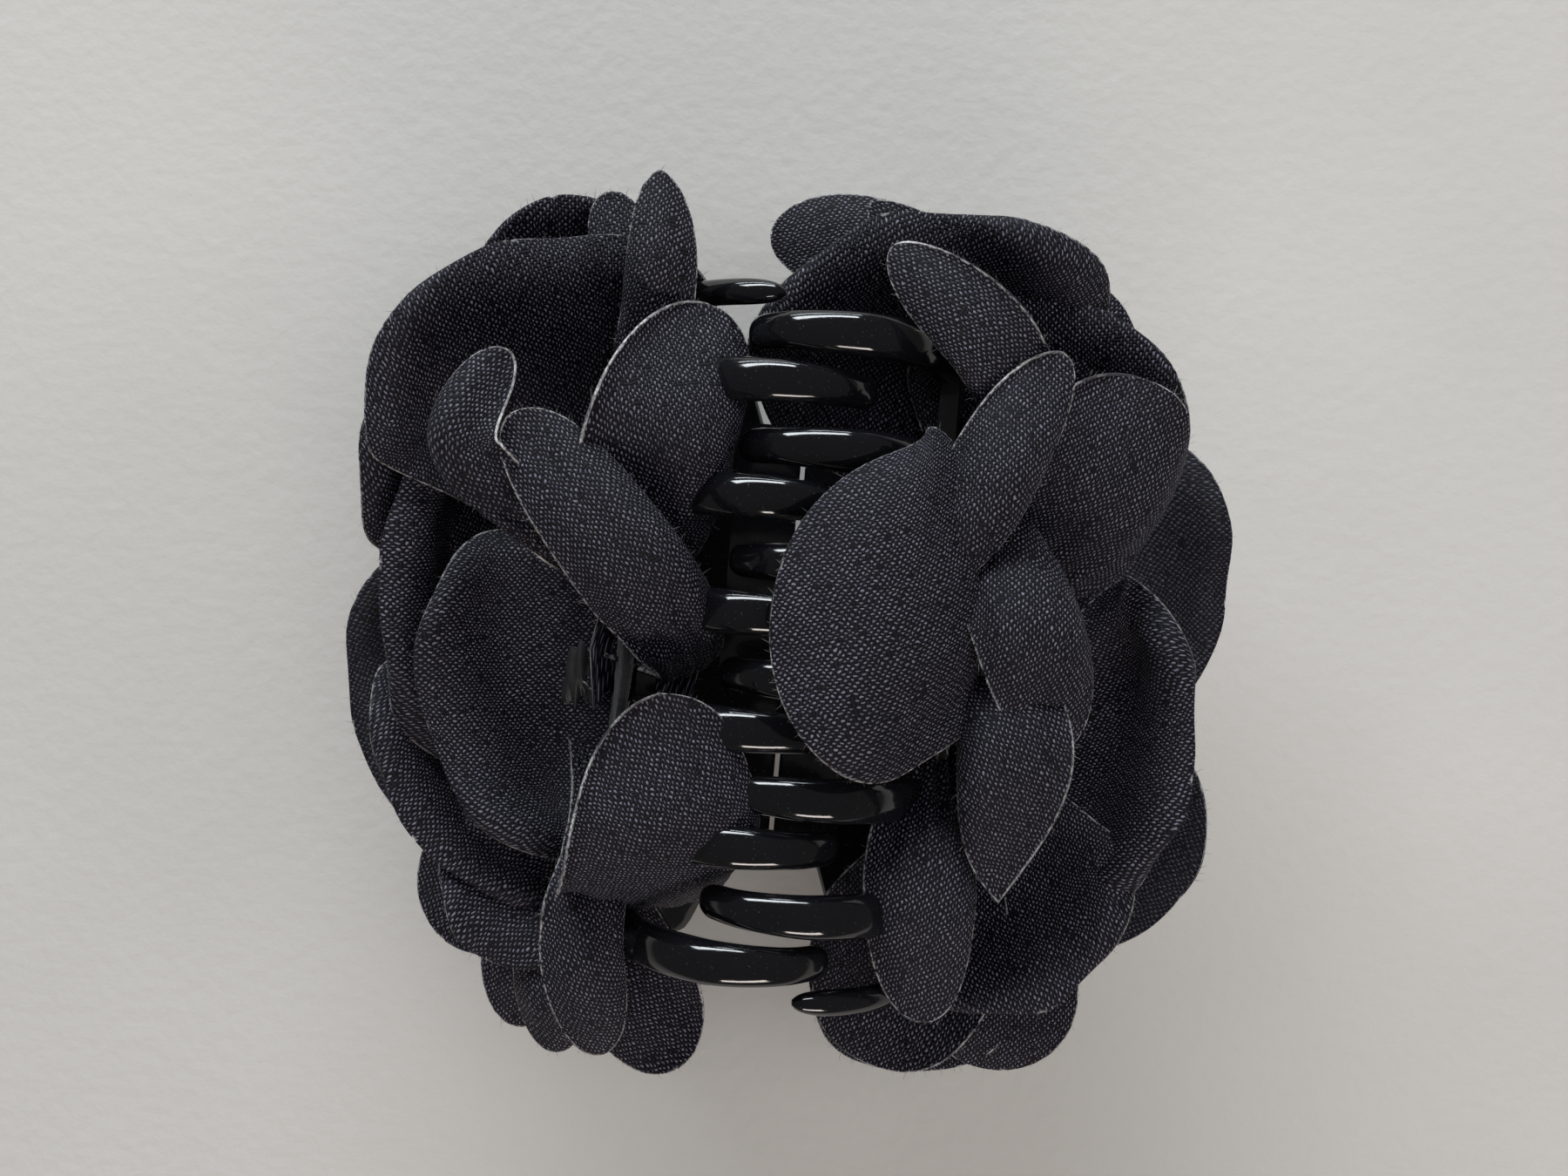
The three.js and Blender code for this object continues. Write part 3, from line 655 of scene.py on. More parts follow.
def ear(name, y):
    """A hinge ear: a disc round the pin, with a web back to the wall."""
    half, inner = EAR_THICKNESS / 2, 1 - EAR_CHAMFER / EAR_RADIUS
    outline = [
        (EAR_RADIUS * x if x > 0 else EAR_RADIUS * x - EAR_WEB * min(1, -x * 3), EAR_RADIUS * z)
        for x, z in ring(40)
    ]
    levels = [(-half, inner), (-half + EAR_CHAMFER, 1), (half - EAR_CHAMFER, 1), (half, inner)]
    return ringed(
        name, [[(x * scale, y + off, hinge_height + z * scale) for x, z in outline] for off, scale in levels]
    )

# %% [markdown]
# ## Joining, finishing and placing
# A moulding's parts run into each other, so they are united into one closed mesh, and the bore and the flat
# feet are then cut. Every finished piece is shaded smooth, gets its material, and is told which body of the
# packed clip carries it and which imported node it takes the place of.

# %% Join, dress and place
def joined_solid(name, first, others, cut=()):
    """first with the others added and cut taken away, as one closed mesh."""
    for other, operation in [(o, "UNION") for o in others] + [(o, "DIFFERENCE") for o in cut]:
        step = first.modifiers.new("join", "BOOLEAN")
        step.object, step.operation, step.solver = other, operation, "EXACT"
    made = as_modified(first, name)
    for used in (first, *others, *cut):
        bpy.data.objects.remove(used)
    return made


def dress(piece, finish, crease=35):
    """Smooth shading up to an angle, and one material."""
    piece.data.materials.clear()
    piece.data.materials.append(finish)
    for face in piece.data.polygons:
        face.use_smooth, face.material_index = True, 0
    if crease < 180:
        piece.data.set_sharp_from_angle(angle=radians(crease))
    print(piece.name, "has", len(piece.data.polygons), "faces")


def place_in_clip(piece, body, node):
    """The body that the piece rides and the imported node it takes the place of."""
    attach(piece, body)
    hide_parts(node)

# %% The jaw's bars
def bar(name, start, end, half_width, steps):
    def half_wall(share):
        return WALL / 2

    return swept(name, start, end, 0, half_width, half_wall, squareness=3.0, sides=40, steps=steps)


def plate_width(share):
    narrowing = smooth(0.7, 1, share)
    width = PLATE_HALF_LENGTH * (1 - narrowing) + WAIST_HALF_LENGTH * narrowing
    return width * (0.965 + 0.035 * smooth(0, 0.12, share))


def lever_width(share):
    return LEVER_HALF_WIDTH * (1 + 0.2 * (1 - smooth(0, 0.4, share))) * rounded_end(1 - share, 0.2)


def end_tooth(name):
    def radius(share):
        return 1.5 * rounded_end(share, 0.3)

    def drop(share):
        return -3.2 * (1 - smooth(0, 0.9, share))

    return swept(name, profile.nearest(-4.2, 60.4), tooth_root, PLATE_HALF_LENGTH, radius, radius, lift=drop)


def turned(name, outline):
    """outline, (radius, y) pairs in millimetres from end to end, spun about the pin's axis."""
    rings = [[(radius * x, y, hinge_height + radius * z) for x, z in ring(48)] for radius, y in outline]
    return ringed(name, rings, ends=outline[0] != outline[-1])

# %% Ridges and guard
RIDGES, RIDGE_RADIUS, RIDGE_SHARES = 4, 0.55, (0.42, 0.78)  # shares of the way from the waist to the foot
GUARD_HALF_LENGTH = 28
GUARD_SECTION = [(-9.5, 24.25), (-0.7, 24.25), (-0.3, 24.6), (-0.3, 25.4), (-0.7, 25.75), (-9.5, 25.75)]


def grip_ridge(name, share):
    """A low rounded bar across the lever's outer side."""
    centre, tangent, outward = off_profile(waist + (1 - waist) * share)
    rings = []
    for place, scale in [(-1, 0.3), (-0.97, 0.8), (-0.93, 1), (0.93, 1), (0.97, 0.8), (1, 0.3)]:
        middle = centre + outward * (WALL / 2) + Vector((0, place * LEVER_HALF_WIDTH * 0.65, 0))
        radius = RIDGE_RADIUS * scale
        rings.append([middle + outward * (radius * x) + tangent * (radius * z) for x, z in ring(10)])
    return ringed(name, rings)


def hinge_guard(name):
    """A shelf over the spring, nearly to the clip's middle, that keeps hair out of the hinge."""
    ends = (-GUARD_HALF_LENGTH, GUARD_HALF_LENGTH)
    return ringed(name, [[(x, y, z) for x, z in GUARD_SECTION] for y in ends])

# %% Both jaws
def build_jaw(name):
    teeth = grown(
        tooth("tooth", FIRST_TOOTH_Y),
        in_a_row,
        {"Count": TOOTH_COUNT, "Step": (0, -TOOTH_PITCH * MM, 0), "Finish": jaw_plastic},
        "teeth",
    )
    first_ridge, last_ridge = RIDGE_SHARES
    a, b = (profile.at(waist + (1 - waist) * share) for share in (first_ridge, last_ridge))
    ridges = grown(
        grip_ridge("ridge", first_ridge),
        in_a_row,
        {"Count": RIDGES, "Step": tuple((b - a) * MM / (RIDGES - 1)), "Finish": jaw_plastic},
        "ridges",
    )
    wall = bar("plate", plate_edge, waist + 0.02, plate_width, steps=40)
    lever = bar("lever", waist - 0.03, 1, lever_width, steps=30)
    below = ((-40, -30), (10, -30), (10, 30), (-40, 30))
    ground_cut = ringed("below", [[(x, y, z) for x, y in below] for z in (-12, 0)])
    bore = turned("bore", [(BORE_RADIUS, -20), (BORE_RADIUS, 20)])
    parts = [lever, teeth, end_tooth("end_tooth"), ridges, hinge_guard("guard")]
    parts += [ear("ear", y) for y in EAR_PLACES]
    return joined_solid(name, wall, parts, [bore, ground_cut])


to_pin = Matrix.Translation((hinge.x, hinge.y, 0))
HALF_TURN = to_pin @ Matrix.Rotation(pi, 4, "Z") @ to_pin.inverted()

left_jaw = build_jaw("left_claw_jaw")
right_jaw = linked("right_claw_jaw", left_jaw.data.copy())
right_jaw.data.transform(HALF_TURN)
for jaw, side in ((left_jaw, "left"), (right_jaw, "right")):
    dress(jaw, jaw_plastic)
    place_in_clip(jaw, f"{side}_side", f"{side}_jaw")

# %% [markdown]
# ## Pin, cap and spring
# The pin is a turned shank with a formed head, and a small pressed cap holds its other end. A turned part
# is an outline spun about its axis. The torsion spring is a wire that follows a rule, six and a bit turns
# along the pin with a straight leg at each end, so Geometry Nodes bends a line of points into the coil. Its
# middle belongs to both halves of the clip: one leg pushes each lever.

# %% Turned parts
pin_outline = [(0.5, -14.15), (1.1, -14.1), (1.5, -13.95), (1.68, -13.7), (1.68, -13.5), (1.4, -13.27)]
pin_outline += [(0.9, -13.25), (0.9, 14.2), (0.8, 14.4), (0.45, 14.5)]
cap_outline = [(0.98, 13.37), (1.62, 13.37), (1.68, 13.5), (1.6, 13.8), (1.45, 14.2), (1.2, 14.25)]
cap_outline += [(0.98, 14.2), (0.98, 13.37)]
for name, outline, node in (("pin", pin_outline, "hinge_pin"), ("pin_end_cap", cap_outline, "pin_cap")):
    piece = turned(name, outline)
    dress(piece, spring_steel)
    place_in_clip(piece, "left_side", node)

# %% Spring coil
COIL_RADIUS, COIL_HALF_LENGTH, COIL_TURNS, WIRE_RADIUS = 2.2, 5.4, 6.28, 0.5
COIL_START = 0.86 * pi  # the angle round the pin where the left leg leaves
LEG_END = (7.2, 10.3)
SPRING_SIDES = 16


def coil_of_wire(tree, wires):
    """A line of points wound round the pin: its share of the way gives the angle and the place along Y."""
    line = tree.add("GeometryNodeCurvePrimitiveLine", {}, {"Start": (0, 0, 0), "End": (0, 1, 0)})
    count = wires["Turns"] * 40.0
    points = tree.add("GeometryNodeResampleCurve", {}, {"Curve": line.out(0), "Count": count})
    share = tree.add("GeometryNodeSplineParameter").out("Factor")
    angle = COIL_START - share * wires["Turns"] * (2 * pi)
    radius = wires["Radius"]
    across = radius * angle.maths("COSINE") + hinge.x
    along = (share * 2.0 - 1.0) * wires["Half length"] + hinge.y
    up = radius * angle.maths("SINE") + hinge.z
    place = tree.add("ShaderNodeCombineXYZ", {}, {0: across, 1: along, 2: up})
    wound = tree.add("GeometryNodeSetPosition", {}, {0: points.out(0), "Position": place.out(0)})
    sockets = {"Resolution": SPRING_SIDES, "Radius": wires["Wire radius"]}
    section = tree.add("GeometryNodeCurvePrimitiveCircle", {}, sockets)
    tube = tree.add("GeometryNodeCurveToMesh", {}, {0: wound.out(0), 1: section.out(0), "Fill Caps": True})
    return finished(tree, tube.out(0), wires["Finish"])


coil_values = {
    "Turns": COIL_TURNS,
    "Radius": COIL_RADIUS * MM,
    "Half length": COIL_HALF_LENGTH * MM,
    "Wire radius": WIRE_RADIUS * MM,
    "Finish": spring_steel,
}
coil_inputs = {label: "Material" if label == "Finish" else "Float" for label in coil_values}
coil_tree = geometry_tree("wound_wire", coil_inputs, coil_of_wire)
coil = grown(mesh_object("wire", [placed(0, 0, 0)], []), coil_tree, coil_values, "coil")

# %% Spring legs
def wire_leg(name, points):
    """A straight wire with a rounded bend where it leaves the coil, as a closed tube."""
    route, steps, rings = Path(points), 24, []
    for step in range(steps + 1):
        share = step / steps
        centre, tangent = route.at(share), route.direction(share)
        side = tangent.cross(Vector((0, 1, 0))).normalized()
        up = side.cross(tangent)
        radius = WIRE_RADIUS * rounded_end(1 - share, 0.05)
        rings.append([centre + (side * x + up * z) * radius for x, z in ring(SPRING_SIDES)])
    return ringed(name, rings)


def coil_point(share):
    angle = COIL_START - share * COIL_TURNS * 2 * pi
    y = (2 * share - 1) * COIL_HALF_LENGTH
    return (COIL_RADIUS * cos(angle), y, hinge_height + COIL_RADIUS * sin(angle))


legs = [
    wire_leg("leg", [coil_point(0.012), coil_point(0.0), (-LEG_END[0], -COIL_HALF_LENGTH, LEG_END[1])]),
    wire_leg("leg", [coil_point(0.988), coil_point(1.0), (LEG_END[0], COIL_HALF_LENGTH, LEG_END[1])]),
]
spring = joined_solid("spring", coil, legs)
dress(spring, spring_steel, crease=180)
tuple(placed(0, -COIL_HALF_LENGTH + 0.4, hinge_height))
tuple(placed(0, COIL_HALF_LENGTH - 0.4, hinge_height))
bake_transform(spring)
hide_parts("torsion_spring")

# %% [markdown]
# ## How one petal is made
# A petal is a flat, rounded piece of cloth, narrow where it is glued and widest near its tip. Heat and
# pulling have given it a shape: it arches along its middle, its two long sides bend up or down, and its
# outer edge rolls and ruffles. So it is built from a rib and a section. The rib is a smooth curve from the
# glue to the tip. The section starts flat at the rib and turns more the further out it goes. Cloth doesn't
# stretch much, and this way each side keeps its cut width while it bends.
#
# Writing this as mesh code, rather than sculpting, keeps the flat cloth's coordinates for the weave.

# %% The rib and the section
WIDEST, RIB_STEPS = 0.62, 48
MOUND_X, MOUND_Z, MOUND_HALF = 24.5, 39.5, (3.2, 19, 7)


def glue_point(x, y, z):
    """The part of the glue mound that is nearest to a petal's root."""
    height = min(max((z - 40) / 14, -0.7), 0.7)
    return Vector(((MOUND_X if x > 0 else -MOUND_X), y * 0.55, MOUND_Z + height * MOUND_HALF[2]))


def rib_frames(root, belly, tip, face, lip, twist):
    """(frames, length). A frame is (place, normal, across), and the normal is face's at the widest part."""
    start = glue_point(*root)
    route = Path([start, root, belly, tip])
    tangents = [route.direction(i / RIB_STEPS) for i in range(RIB_STEPS + 1)]

    def squared(v, tangent):
        return (v - tangent * tangent.dot(v)).normalized()

    middle = round(WIDEST * RIB_STEPS)
    normals = [None] * (RIB_STEPS + 1)
    normals[middle] = squared(Vector(face), tangents[middle])
    for i in range(middle + 1, RIB_STEPS + 1):
        normals[i] = squared(normals[i - 1], tangents[i])
    for i in range(middle - 1, -1, -1):
        normals[i] = squared(normals[i + 1], tangents[i])
    frames, place = [], start
    for i, (tangent, normal) in enumerate(zip(tangents, normals)):
        share = i / RIB_STEPS
        normal = Matrix.Rotation(radians(twist) * (share - WIDEST), 3, tangent) @ normal
        across = tangent.cross(normal)
        roll = Matrix.Rotation(radians(lip) * max(0, (share - 0.7) / 0.3) ** 2, 3, across)
        frames.append((place, roll @ normal, across))
        place = place + roll @ tangent * (route.length / RIB_STEPS)
    return frames, route.length


def petal_share(s, point=0.5):
    """The petal's half width at share s of its length, from 0 to 1. A larger point sharpens the tip."""
    if s < WIDEST:
        return 0.22 + 0.78 * smooth(0, 1, s / WIDEST)
    return max(0.0, 1 - ((s - WIDEST) / (1 - WIDEST)) ** 2) ** point

# %% [markdown]
# ## Ruffles, pleats and the cut edge
# Three smaller shapes are added to the section. The edge waves, because heat shrinks it; the waves die out a
# few millimetres in. Shallow pleats run out from the glued end, where the cloth was pinched. A slow
# unevenness over the whole petal stops it looking like a moulded shell. Each petal draws its own numbers
# from a fixed seed, so the flower comes out the same every time.

# %% A sheet of cloth
def grid_faces(rows, columns):
    """The quads of a grid of points that are listed row by row."""
    row = columns + 1
    return [
        (i * row + j, i * row + j + 1, (i + 1) * row + j + 1, (i + 1) * row + j)
        for i in range(rows)
        for j in range(columns)
    ]


def cloth_piece(name, points, faces, finishes, thickness):
    """A smooth sheet of that thickness, from points in millimetres. Its cut edge has the last finish."""
    made = mesh_object(name, [placed(*p) for p in points], faces)
    for finish in finishes:
        made.data.materials.append(finish)
    for face in made.data.polygons:
        face.use_smooth = True
    thick = made.modifiers.new("thickness", "SOLIDIFY")
    thick.thickness, thick.offset, thick.material_offset_rim = thickness * MM, 0, len(finishes) - 1
    return made

# %% One petal
ROWS, COLUMNS = 46, 40
CREPE_THICKNESS = 0.28
RUFFLE_REACH = 10.0  # how far in from the edge the waves reach
HEM = 0.68  # share of the half width where the hem starts to roll


class Petal:
    """One cut petal. It belongs to the flower on its root's side of the clip's middle."""

    def __init__(
        self, part, root, belly, tip, face, width, bend, lip=0, twist=0, curl=(0, 0), point=0.5, cloth=crepe
    ):
        self.side, self.part = "left" if root[0] < 0 else "right", part
        self.width, self.bend, self.curl, self.sharpness, self.cloth = width, bend, curl, point, cloth
        self.frames, self.length = rib_frames(root, belly, tip, face, lip, twist)
        draw = random.Random(f"{self.side}_{part}").uniform
        self.waves = [(draw(0.5, 1.3), draw(1.6, 2.6), draw(0, 1))]  # each height, number and start
        self.waves.append((draw(0.2, 0.5), draw(4.0, 6.5), draw(0, 1)))
        self.pleats = (draw(0.25, 0.6), draw(1.6, 2.6), draw(0, 1))
        self.grain = draw(-0.6, 0.6)
        self.offset = Vector((draw(0, 90), draw(0, 90), draw(0, 90)))
        self.wobble = [draw(-0.035, 0.035) for _ in range(4)]

    def outline(self, s, t):
        """The half width's share, with the small unevenness of a hand-fed cutter."""
        turn = pi * s
        uneven = sum(w * sin((k + 1) * turn + (t > 0) * 1.7) for k, w in enumerate(self.wobble))
        return petal_share(s, self.sharpness) * (1 + uneven * smooth(0.15, 0.5, s))

    def flat(self, s, t):
        """The place on the uncurled cloth, in millimetres from the rib and from the glued end."""
        return (self.outline(s, t) * self.width / 2 * t, s * self.length)

    def point(self, s, t):
        """The place at share s of the length and t of the half width, from -1 to 1, in millimetres."""
        at = min(s, 0.9999) * RIB_STEPS
        before, after = self.frames[floor(at)], self.frames[floor(at) + 1]
        place, normal, across = (a.lerp(b, at - floor(at)) for a, b in zip(before, after))
        reach = self.outline(s, t) * self.width / 2 * abs(t)
        turn, side = radians(self.bend[t > 0]), (1 if t > 0 else -1)
        hem = radians(self.curl[t > 0]) * smooth(0.25, 0.6, s)
        place, pieces = place.copy(), 16
        for i in range(pieces):
            done = (i + 0.5) / pieces
            angle = turn * (reach * done / (self.width / 2)) ** 1.6
            angle += hem * max(0, (abs(t) * done - HEM) / (1 - HEM)) ** 1.4
            place += (across * side * cos(angle) + normal * sin(angle)) * (reach / pieces)
        half = petal_share(s) * self.width / 2
        inset = min((1 - abs(t)) * half, (1 - s) * self.length)
        rim = max(0.0, 1 - inset / RUFFLE_REACH) ** 2 * smooth(0.2, 0.55, s)
        around = atan2(t * half, (s - 0.4) * self.length) / pi
        lift = sum(high * sin(2 * pi * (many * around + start)) for high, many, start in self.waves) * rim
        high, many, start = self.pleats
        lift += high * sin(2 * pi * (many * t + start)) * (1 - smooth(0.1, 0.75, s)) * min(1, s * 6)
        slow = place * 0.075 + self.offset
        lift += noise.noise(slow) * 1.1 * smooth(0.1, 0.5, s)
        return place + normal * lift

    def surface(self):
        """(points, flat places, edge) of the open sheet. Rows close up towards the round tip."""
        shares = [WIDEST * (i / (ROWS * 0.55)) for i in range(round(ROWS * 0.55))]
        rest = ROWS - len(shares)
        shares += [WIDEST + (1 - WIDEST) * sin(radians(88.6) * i / rest) for i in range(rest + 1)]
        shares[0] = 0.03
        steps = [2 * j / COLUMNS - 1 for j in range(COLUMNS + 1)]
        across = [sin(pi / 2 * step) * 0.35 + step * 0.65 for step in steps]
        points = [self.point(s, t) for s in shares for t in across]
        flats = np.array([self.flat(s, t) for s in shares for t in across])
        row = COLUMNS + 1
        edge = [i * row for i in range(ROWS + 1)] + [ROWS * row + j for j in range(1, COLUMNS)]
        edge += [i * row + COLUMNS for i in range(ROWS, -1, -1)]
        return points, flats, edge

    def add_flat_coordinates(self, made, flats, edge):
        """Two UV maps: weave is the turned flat place, and rim starts with the distance to the edge."""
        gaps = np.sqrt(((flats[:, None, :] - flats[edge][None, :, :]) ** 2).sum(2)).min(1)
        turn = np.array([[cos(self.grain), sin(self.grain)], [-sin(self.grain), cos(self.grain)]])
        woven = flats @ turn + np.array(self.offset[:2])
        corners = [v for face in made.data.polygons for v in face.vertices]
        for label, values in (("weave", woven), ("rim", np.stack([gaps, flats[:, 1]], 1))):
            layer = made.data.uv_layers.new(name=label)
            layer.data.foreach_set("uv", values[corners].astype(np.float32).ravel())

    def build(self):
        points, flats, edge = self.surface()
        faces = grid_faces(ROWS, COLUMNS)
        made = cloth_piece(f"{self.side}_{self.part}", points, faces, [self.cloth, cut_edge], CREPE_THICKNESS)
        self.add_flat_coordinates(made, flats, edge)
        place_in_clip(made, f"{self.side}_side", f"{self.side}_petal_{self.part}")
        shares = [petal_share((i + 0.5) / 200, self.sharpness) for i in range(200)]
        flat, rests_on = (self.width * MM, self.length * MM), [f"{self.side}_glue_mound"]
        area = min(sum(shares) / 200 * self.width * self.length * MM * MM, flat[0] * flat[1])
        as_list(rests_on)
        middle = placed(*self.point(0.5, 0))
        self.edge = [(placed(*points[i]), placed(*points[i]) - middle) for i in edge]

# %% [markdown]
# ## The left flower
# The petals are listed from the top layer down: where each leaves the glue, where it is widest, where its tip
# is, which way it faces there, its width, and how far its left and right sides bend, in degrees. After those
# come the roll of its tip, its twist, and curl, which rolls the hems of its two sides. A larger point gives
# a sharper tip. Two outer petals are cut from a thinner cloth.

# %% Left petals
LEFT = [
    Petal(
        "top_cup", (-26, 13, 44), (-31, 27, 47), (-34, 41, 60), (0.3, -0.3, 0.9),
        46, (75, 0), -60, curl=(-100, 0),
    ),
    Petal("top_inner", (-19, 5, 46), (-15, 21, 62), (-12, 38, 57), (0.2, 0, 1), 20, (-10, -90), curl=(50, 0)),
    Petal(
        "centre_fold", (-12, -4, 50), (-16, 6, 66), (-33, 23, 64), (0, 0, 1),
        15, (-60, -100), curl=(40, 0),
    ),
    Petal(
        "centre_rim", (-27, 10, 58), (-37, 19, 65), (-33, 30, 63), (0.3, 0, 1),
        10, (-140, 60), curl=(0, 90),
    ),
    Petal(
        "centre_cup", (-17, -4, 46), (-32, -9, 46), (-38, -12, 58), (0.2, 0, 1),
        42, (60, 50), -90, curl=(-110, -90),
    ),
    Petal(
        "front_pouch", (-14, -32, 46), (-11, -20, 64), (-14, -6, 61), (0.2, 0.1, 1),
        25, (-35, -70), 50, curl=(60, 0),
    ),
    Petal("top_spire", (-20, 28, 52), (-18, 40, 59), (-19, 52, 58), (0.2, 0, 1), 10, (-95, -60), point=0.6),
    Petal(
        "low_finger", (-21, -22, 50), (-20, -36, 56), (-18, -50, 49), (0, 0, 1),
        11, (-90, -50), curl=(0, 70),
    ),
    Petal(
        "upper_wall", (-28, 14, 38), (-39, 24, 44), (-42, 29, 57), (0.4, -0.2, 0.9),
        40, (50, 50), -90, curl=(-90, -90),
    ),
    Petal(
        "centre_wall", (-25, -11, 38), (-36, -20, 42), (-39, -24, 53), (0.3, 0.2, 0.9),
        38, (50, 40), -90, curl=(-90, -80),
    ),
    Petal(
        "top_back", (-25, 30, 40), (-29, 42, 44), (-31, 46, 54), (0, -0.4, 0.9),
        28, (50, 50), -70, curl=(-80, -60),
    ),
    Petal("top_sliver", (-23, 34, 48), (-23, 42, 54), (-25, 50, 53), (0, 0, 1), 10, (-80, -60)),
    Petal(
        "low_fold", (-24, -22, 44), (-29, -33, 46), (-31, -38, 52), (0, 0, 1),
        24, (40, 30), -90, curl=(-90, -60),
    ),
    Petal(
        "outer_side", (-27, 4, 36), (-40, 5, 41), (-43, 5, 56), (0.3, 0, 0.95),
        50, (50, 50), -100, curl=(-100, -100),
    ),
    Petal("low_back_a", (-25, -30, 38), (-28, -41, 42), (-29, -50, 39), (0, 0, 1), 13, (-70, -40)),
    Petal("low_back_b", (-23, -30, 42), (-24, -42, 48), (-24, -52, 43), (0, 0, 1), 12, (-80, -60)),
    Petal("low_inner", (-22, -33, 40), (-15, -43, 43), (-9, -52, 42), (0, 0, 1), 18, (40, -50), 40),
    Petal(
        "upper_deep", (-33, 14, 32), (-44, 20, 35), (-49, 23, 42), (0.2, 0, 1),
        36, (30, 30), -60, cloth=crepe_sheer,
    ),
    Petal(
        "deep_side", (-32, -9, 30), (-45, -12, 31), (-52, -15, 38), (0.1, 0, 1),
        42, (30, 40), -60, curl=(0, -60), cloth=crepe_sheer,
    ),
    Petal("low_outer", (-29, -25, 31), (-35, -34, 33), (-40, -41, 36), (0, 0, 1), 22, (20, -20)),
]

# %% [markdown]
# ## The right flower
# The right flower is built of the same kind of petals, turned and opened differently: one broad petal lies
# over the teeth, and its outer petals stand further open. The four petals of the underside are the same in
# both flowers, mirrored.

# %% Right petals
RIGHT = [
    Petal("front_disc", (24, 5, 54), (11, 6, 68), (-2, 9, 67), (0, 0, 1), 39, (-15, -20), curl=(0, -30)),
    Petal(
        "centre_tail", (22, 8, 50), (25, -8, 62), (26, -27, 56), (0, 0, 1),
        14, (-30, -90), 0, -40, curl=(60, 0), point=0.9,
    ),
    Petal(
        "centre_twist", (13, 6, 56), (20, 20, 65), (28, 35, 61), (-0.4, 0, 1),
        12, (-80, -90), 0, 70, curl=(90, 0),
    ),
    Petal(
        "top_roll", (19, 25, 40), (12, 40, 47), (8, 44, 60), (0, -0.5, 0.85),
        46, (60, 50), -110, curl=(-110, -110),
    ),
    Petal("top_fold", (27, 22, 50), (20, 33, 63), (7, 45, 61), (0, 0, 1), 11, (-80, -20), curl=(0, 60)),
    Petal("centre_fold", (19, 17, 52), (26, 6, 64), (32, -10, 57), (0, 0, 1), 15, (-90, -60), curl=(0, 50)),
    Petal("side_fold", (26, 6, 44), (34, 20, 55), (37, 34, 55), (0.2, 0, 1), 25, (30, -80), curl=(50, 0)),
    Petal(
        "upper_cup", (26, 18, 40), (29, 33, 44), (30, 39, 55), (-0.1, -0.2, 1),
        36, (60, 50), -80, curl=(-80, -80),
    ),
    Petal(
        "lower_cup", (27, -8, 36), (41, -10, 40), (44, -11, 53), (-0.3, 0, 0.9),
        44, (60, 60), -110, curl=(-110, -110),
    ),
    Petal(
        "low_shell", (24, -12, 38), (29, -29, 42), (32, -37, 53), (-0.2, 0.3, 0.9),
        34, (60, 50), -90, curl=(-100, -80),
    ),
    Petal(
        "low_tongue", (19, -9, 46), (18, -26, 58), (19, -41, 53), (0, 0, 1),
        14, (-70, -40), 0, 15, curl=(0, 60),
    ),
    Petal("low_inner", (22, -23, 40), (16, -39, 45), (10, -47, 47), (0, 0, 1), 24, (30, 20), -30),
    Petal("top_tip", (22, 36, 42), (12, 46, 47), (5, 53, 48), (0, 0, 1), 14, (-60, -40), point=0.8),
    Petal("top_deep", (26, 29, 38), (29, 40, 42), (31, 48, 42), (0, 0, 1), 28, (-20, -30), -40),
    Petal("top_centre", (22, 40, 34), (8, 48, 38), (-7, 50, 38), (0, 0, 1), 16, (-30, -30)),
    Petal("low_deep", (22, -34, 34), (17, -44, 37), (14, -52, 38), (0, 0, 1), 26, (20, -20), -30),
    Petal("low_back", (27, -30, 36), (30, -42, 40), (31, -51, 40), (0, 0, 1), 22, (-30, 30), -30),
    Petal(
        "deep_side", (34, 8, 30), (47, 10, 32), (53, 9, 38), (0, 0, 1),
        42, (30, 30), -60, curl=(-50, -30), cloth=crepe_sheer,
    ),
    Petal(
        "far_deep", (36, -18, 30), (46, -24, 31), (51, -27, 37), (0, 0, 1),
        32, (25, 25), -50, cloth=crepe_sheer,
    ),
]

# %% Petals of the underside
UNDER = [
    ("under_top", 34, (28, 14, 33), (33, 27, 26), (36, 38, 18), (0.8, -0.2, 0.5)),
    ("under_upper", 34, (29, 5, 31), (37, 9, 21), (43, 12, 10), (0.8, 0, 0.6)),
    ("under_lower", 34, (29, -8, 31), (37, -12, 21), (43, -16, 11), (0.8, 0, 0.6)),
    ("under_low", 32, (28, -18, 33), (33, -28, 26), (36, -39, 18), (0.8, 0.2, 0.5)),
]
flowers = {"left": LEFT, "right": RIGHT}
for side, way in (("left", -1), ("right", 1)):
    for part, width, *places in UNDER:
        flowers[side].append(Petal(part, *((way * x, y, z) for x, y, z in places), width, (20, 20)))

# %% Build both flowers
for side, petals in flowers.items():
    for petal in petals:
        petal.build()
    print(side, "flower:", len(petals), "petals,", round(sum(p.length for p in petals)), "mm of rib")

# %% [markdown]
# ## Frayed threads
# Each cut edge sheds short ends of yarn. They are tiny, but they catch the light and soften every outline.
# Thousands of the same hair along a path is work for Geometry Nodes: the outline becomes a curve, points are
# set along it, some are dropped at random, and a thin tapered hair is placed on each with its own turn and
# length.

# %% One thread end
def hair(name):
    """One thread end: a thin four-sided spike, 1 mm long, that leans a little."""
    points = [
        Vector((lean + radius * x, radius * y, height)) * MM
        for height, radius, lean in ((-0.15, 0.028, 0.0), (0.5, 0.021, 0.06), (1.0, 0.007, 0.2))
        for x, y in ring(4)
    ]
    return mesh_object(name, points, ring_faces(4, 3))

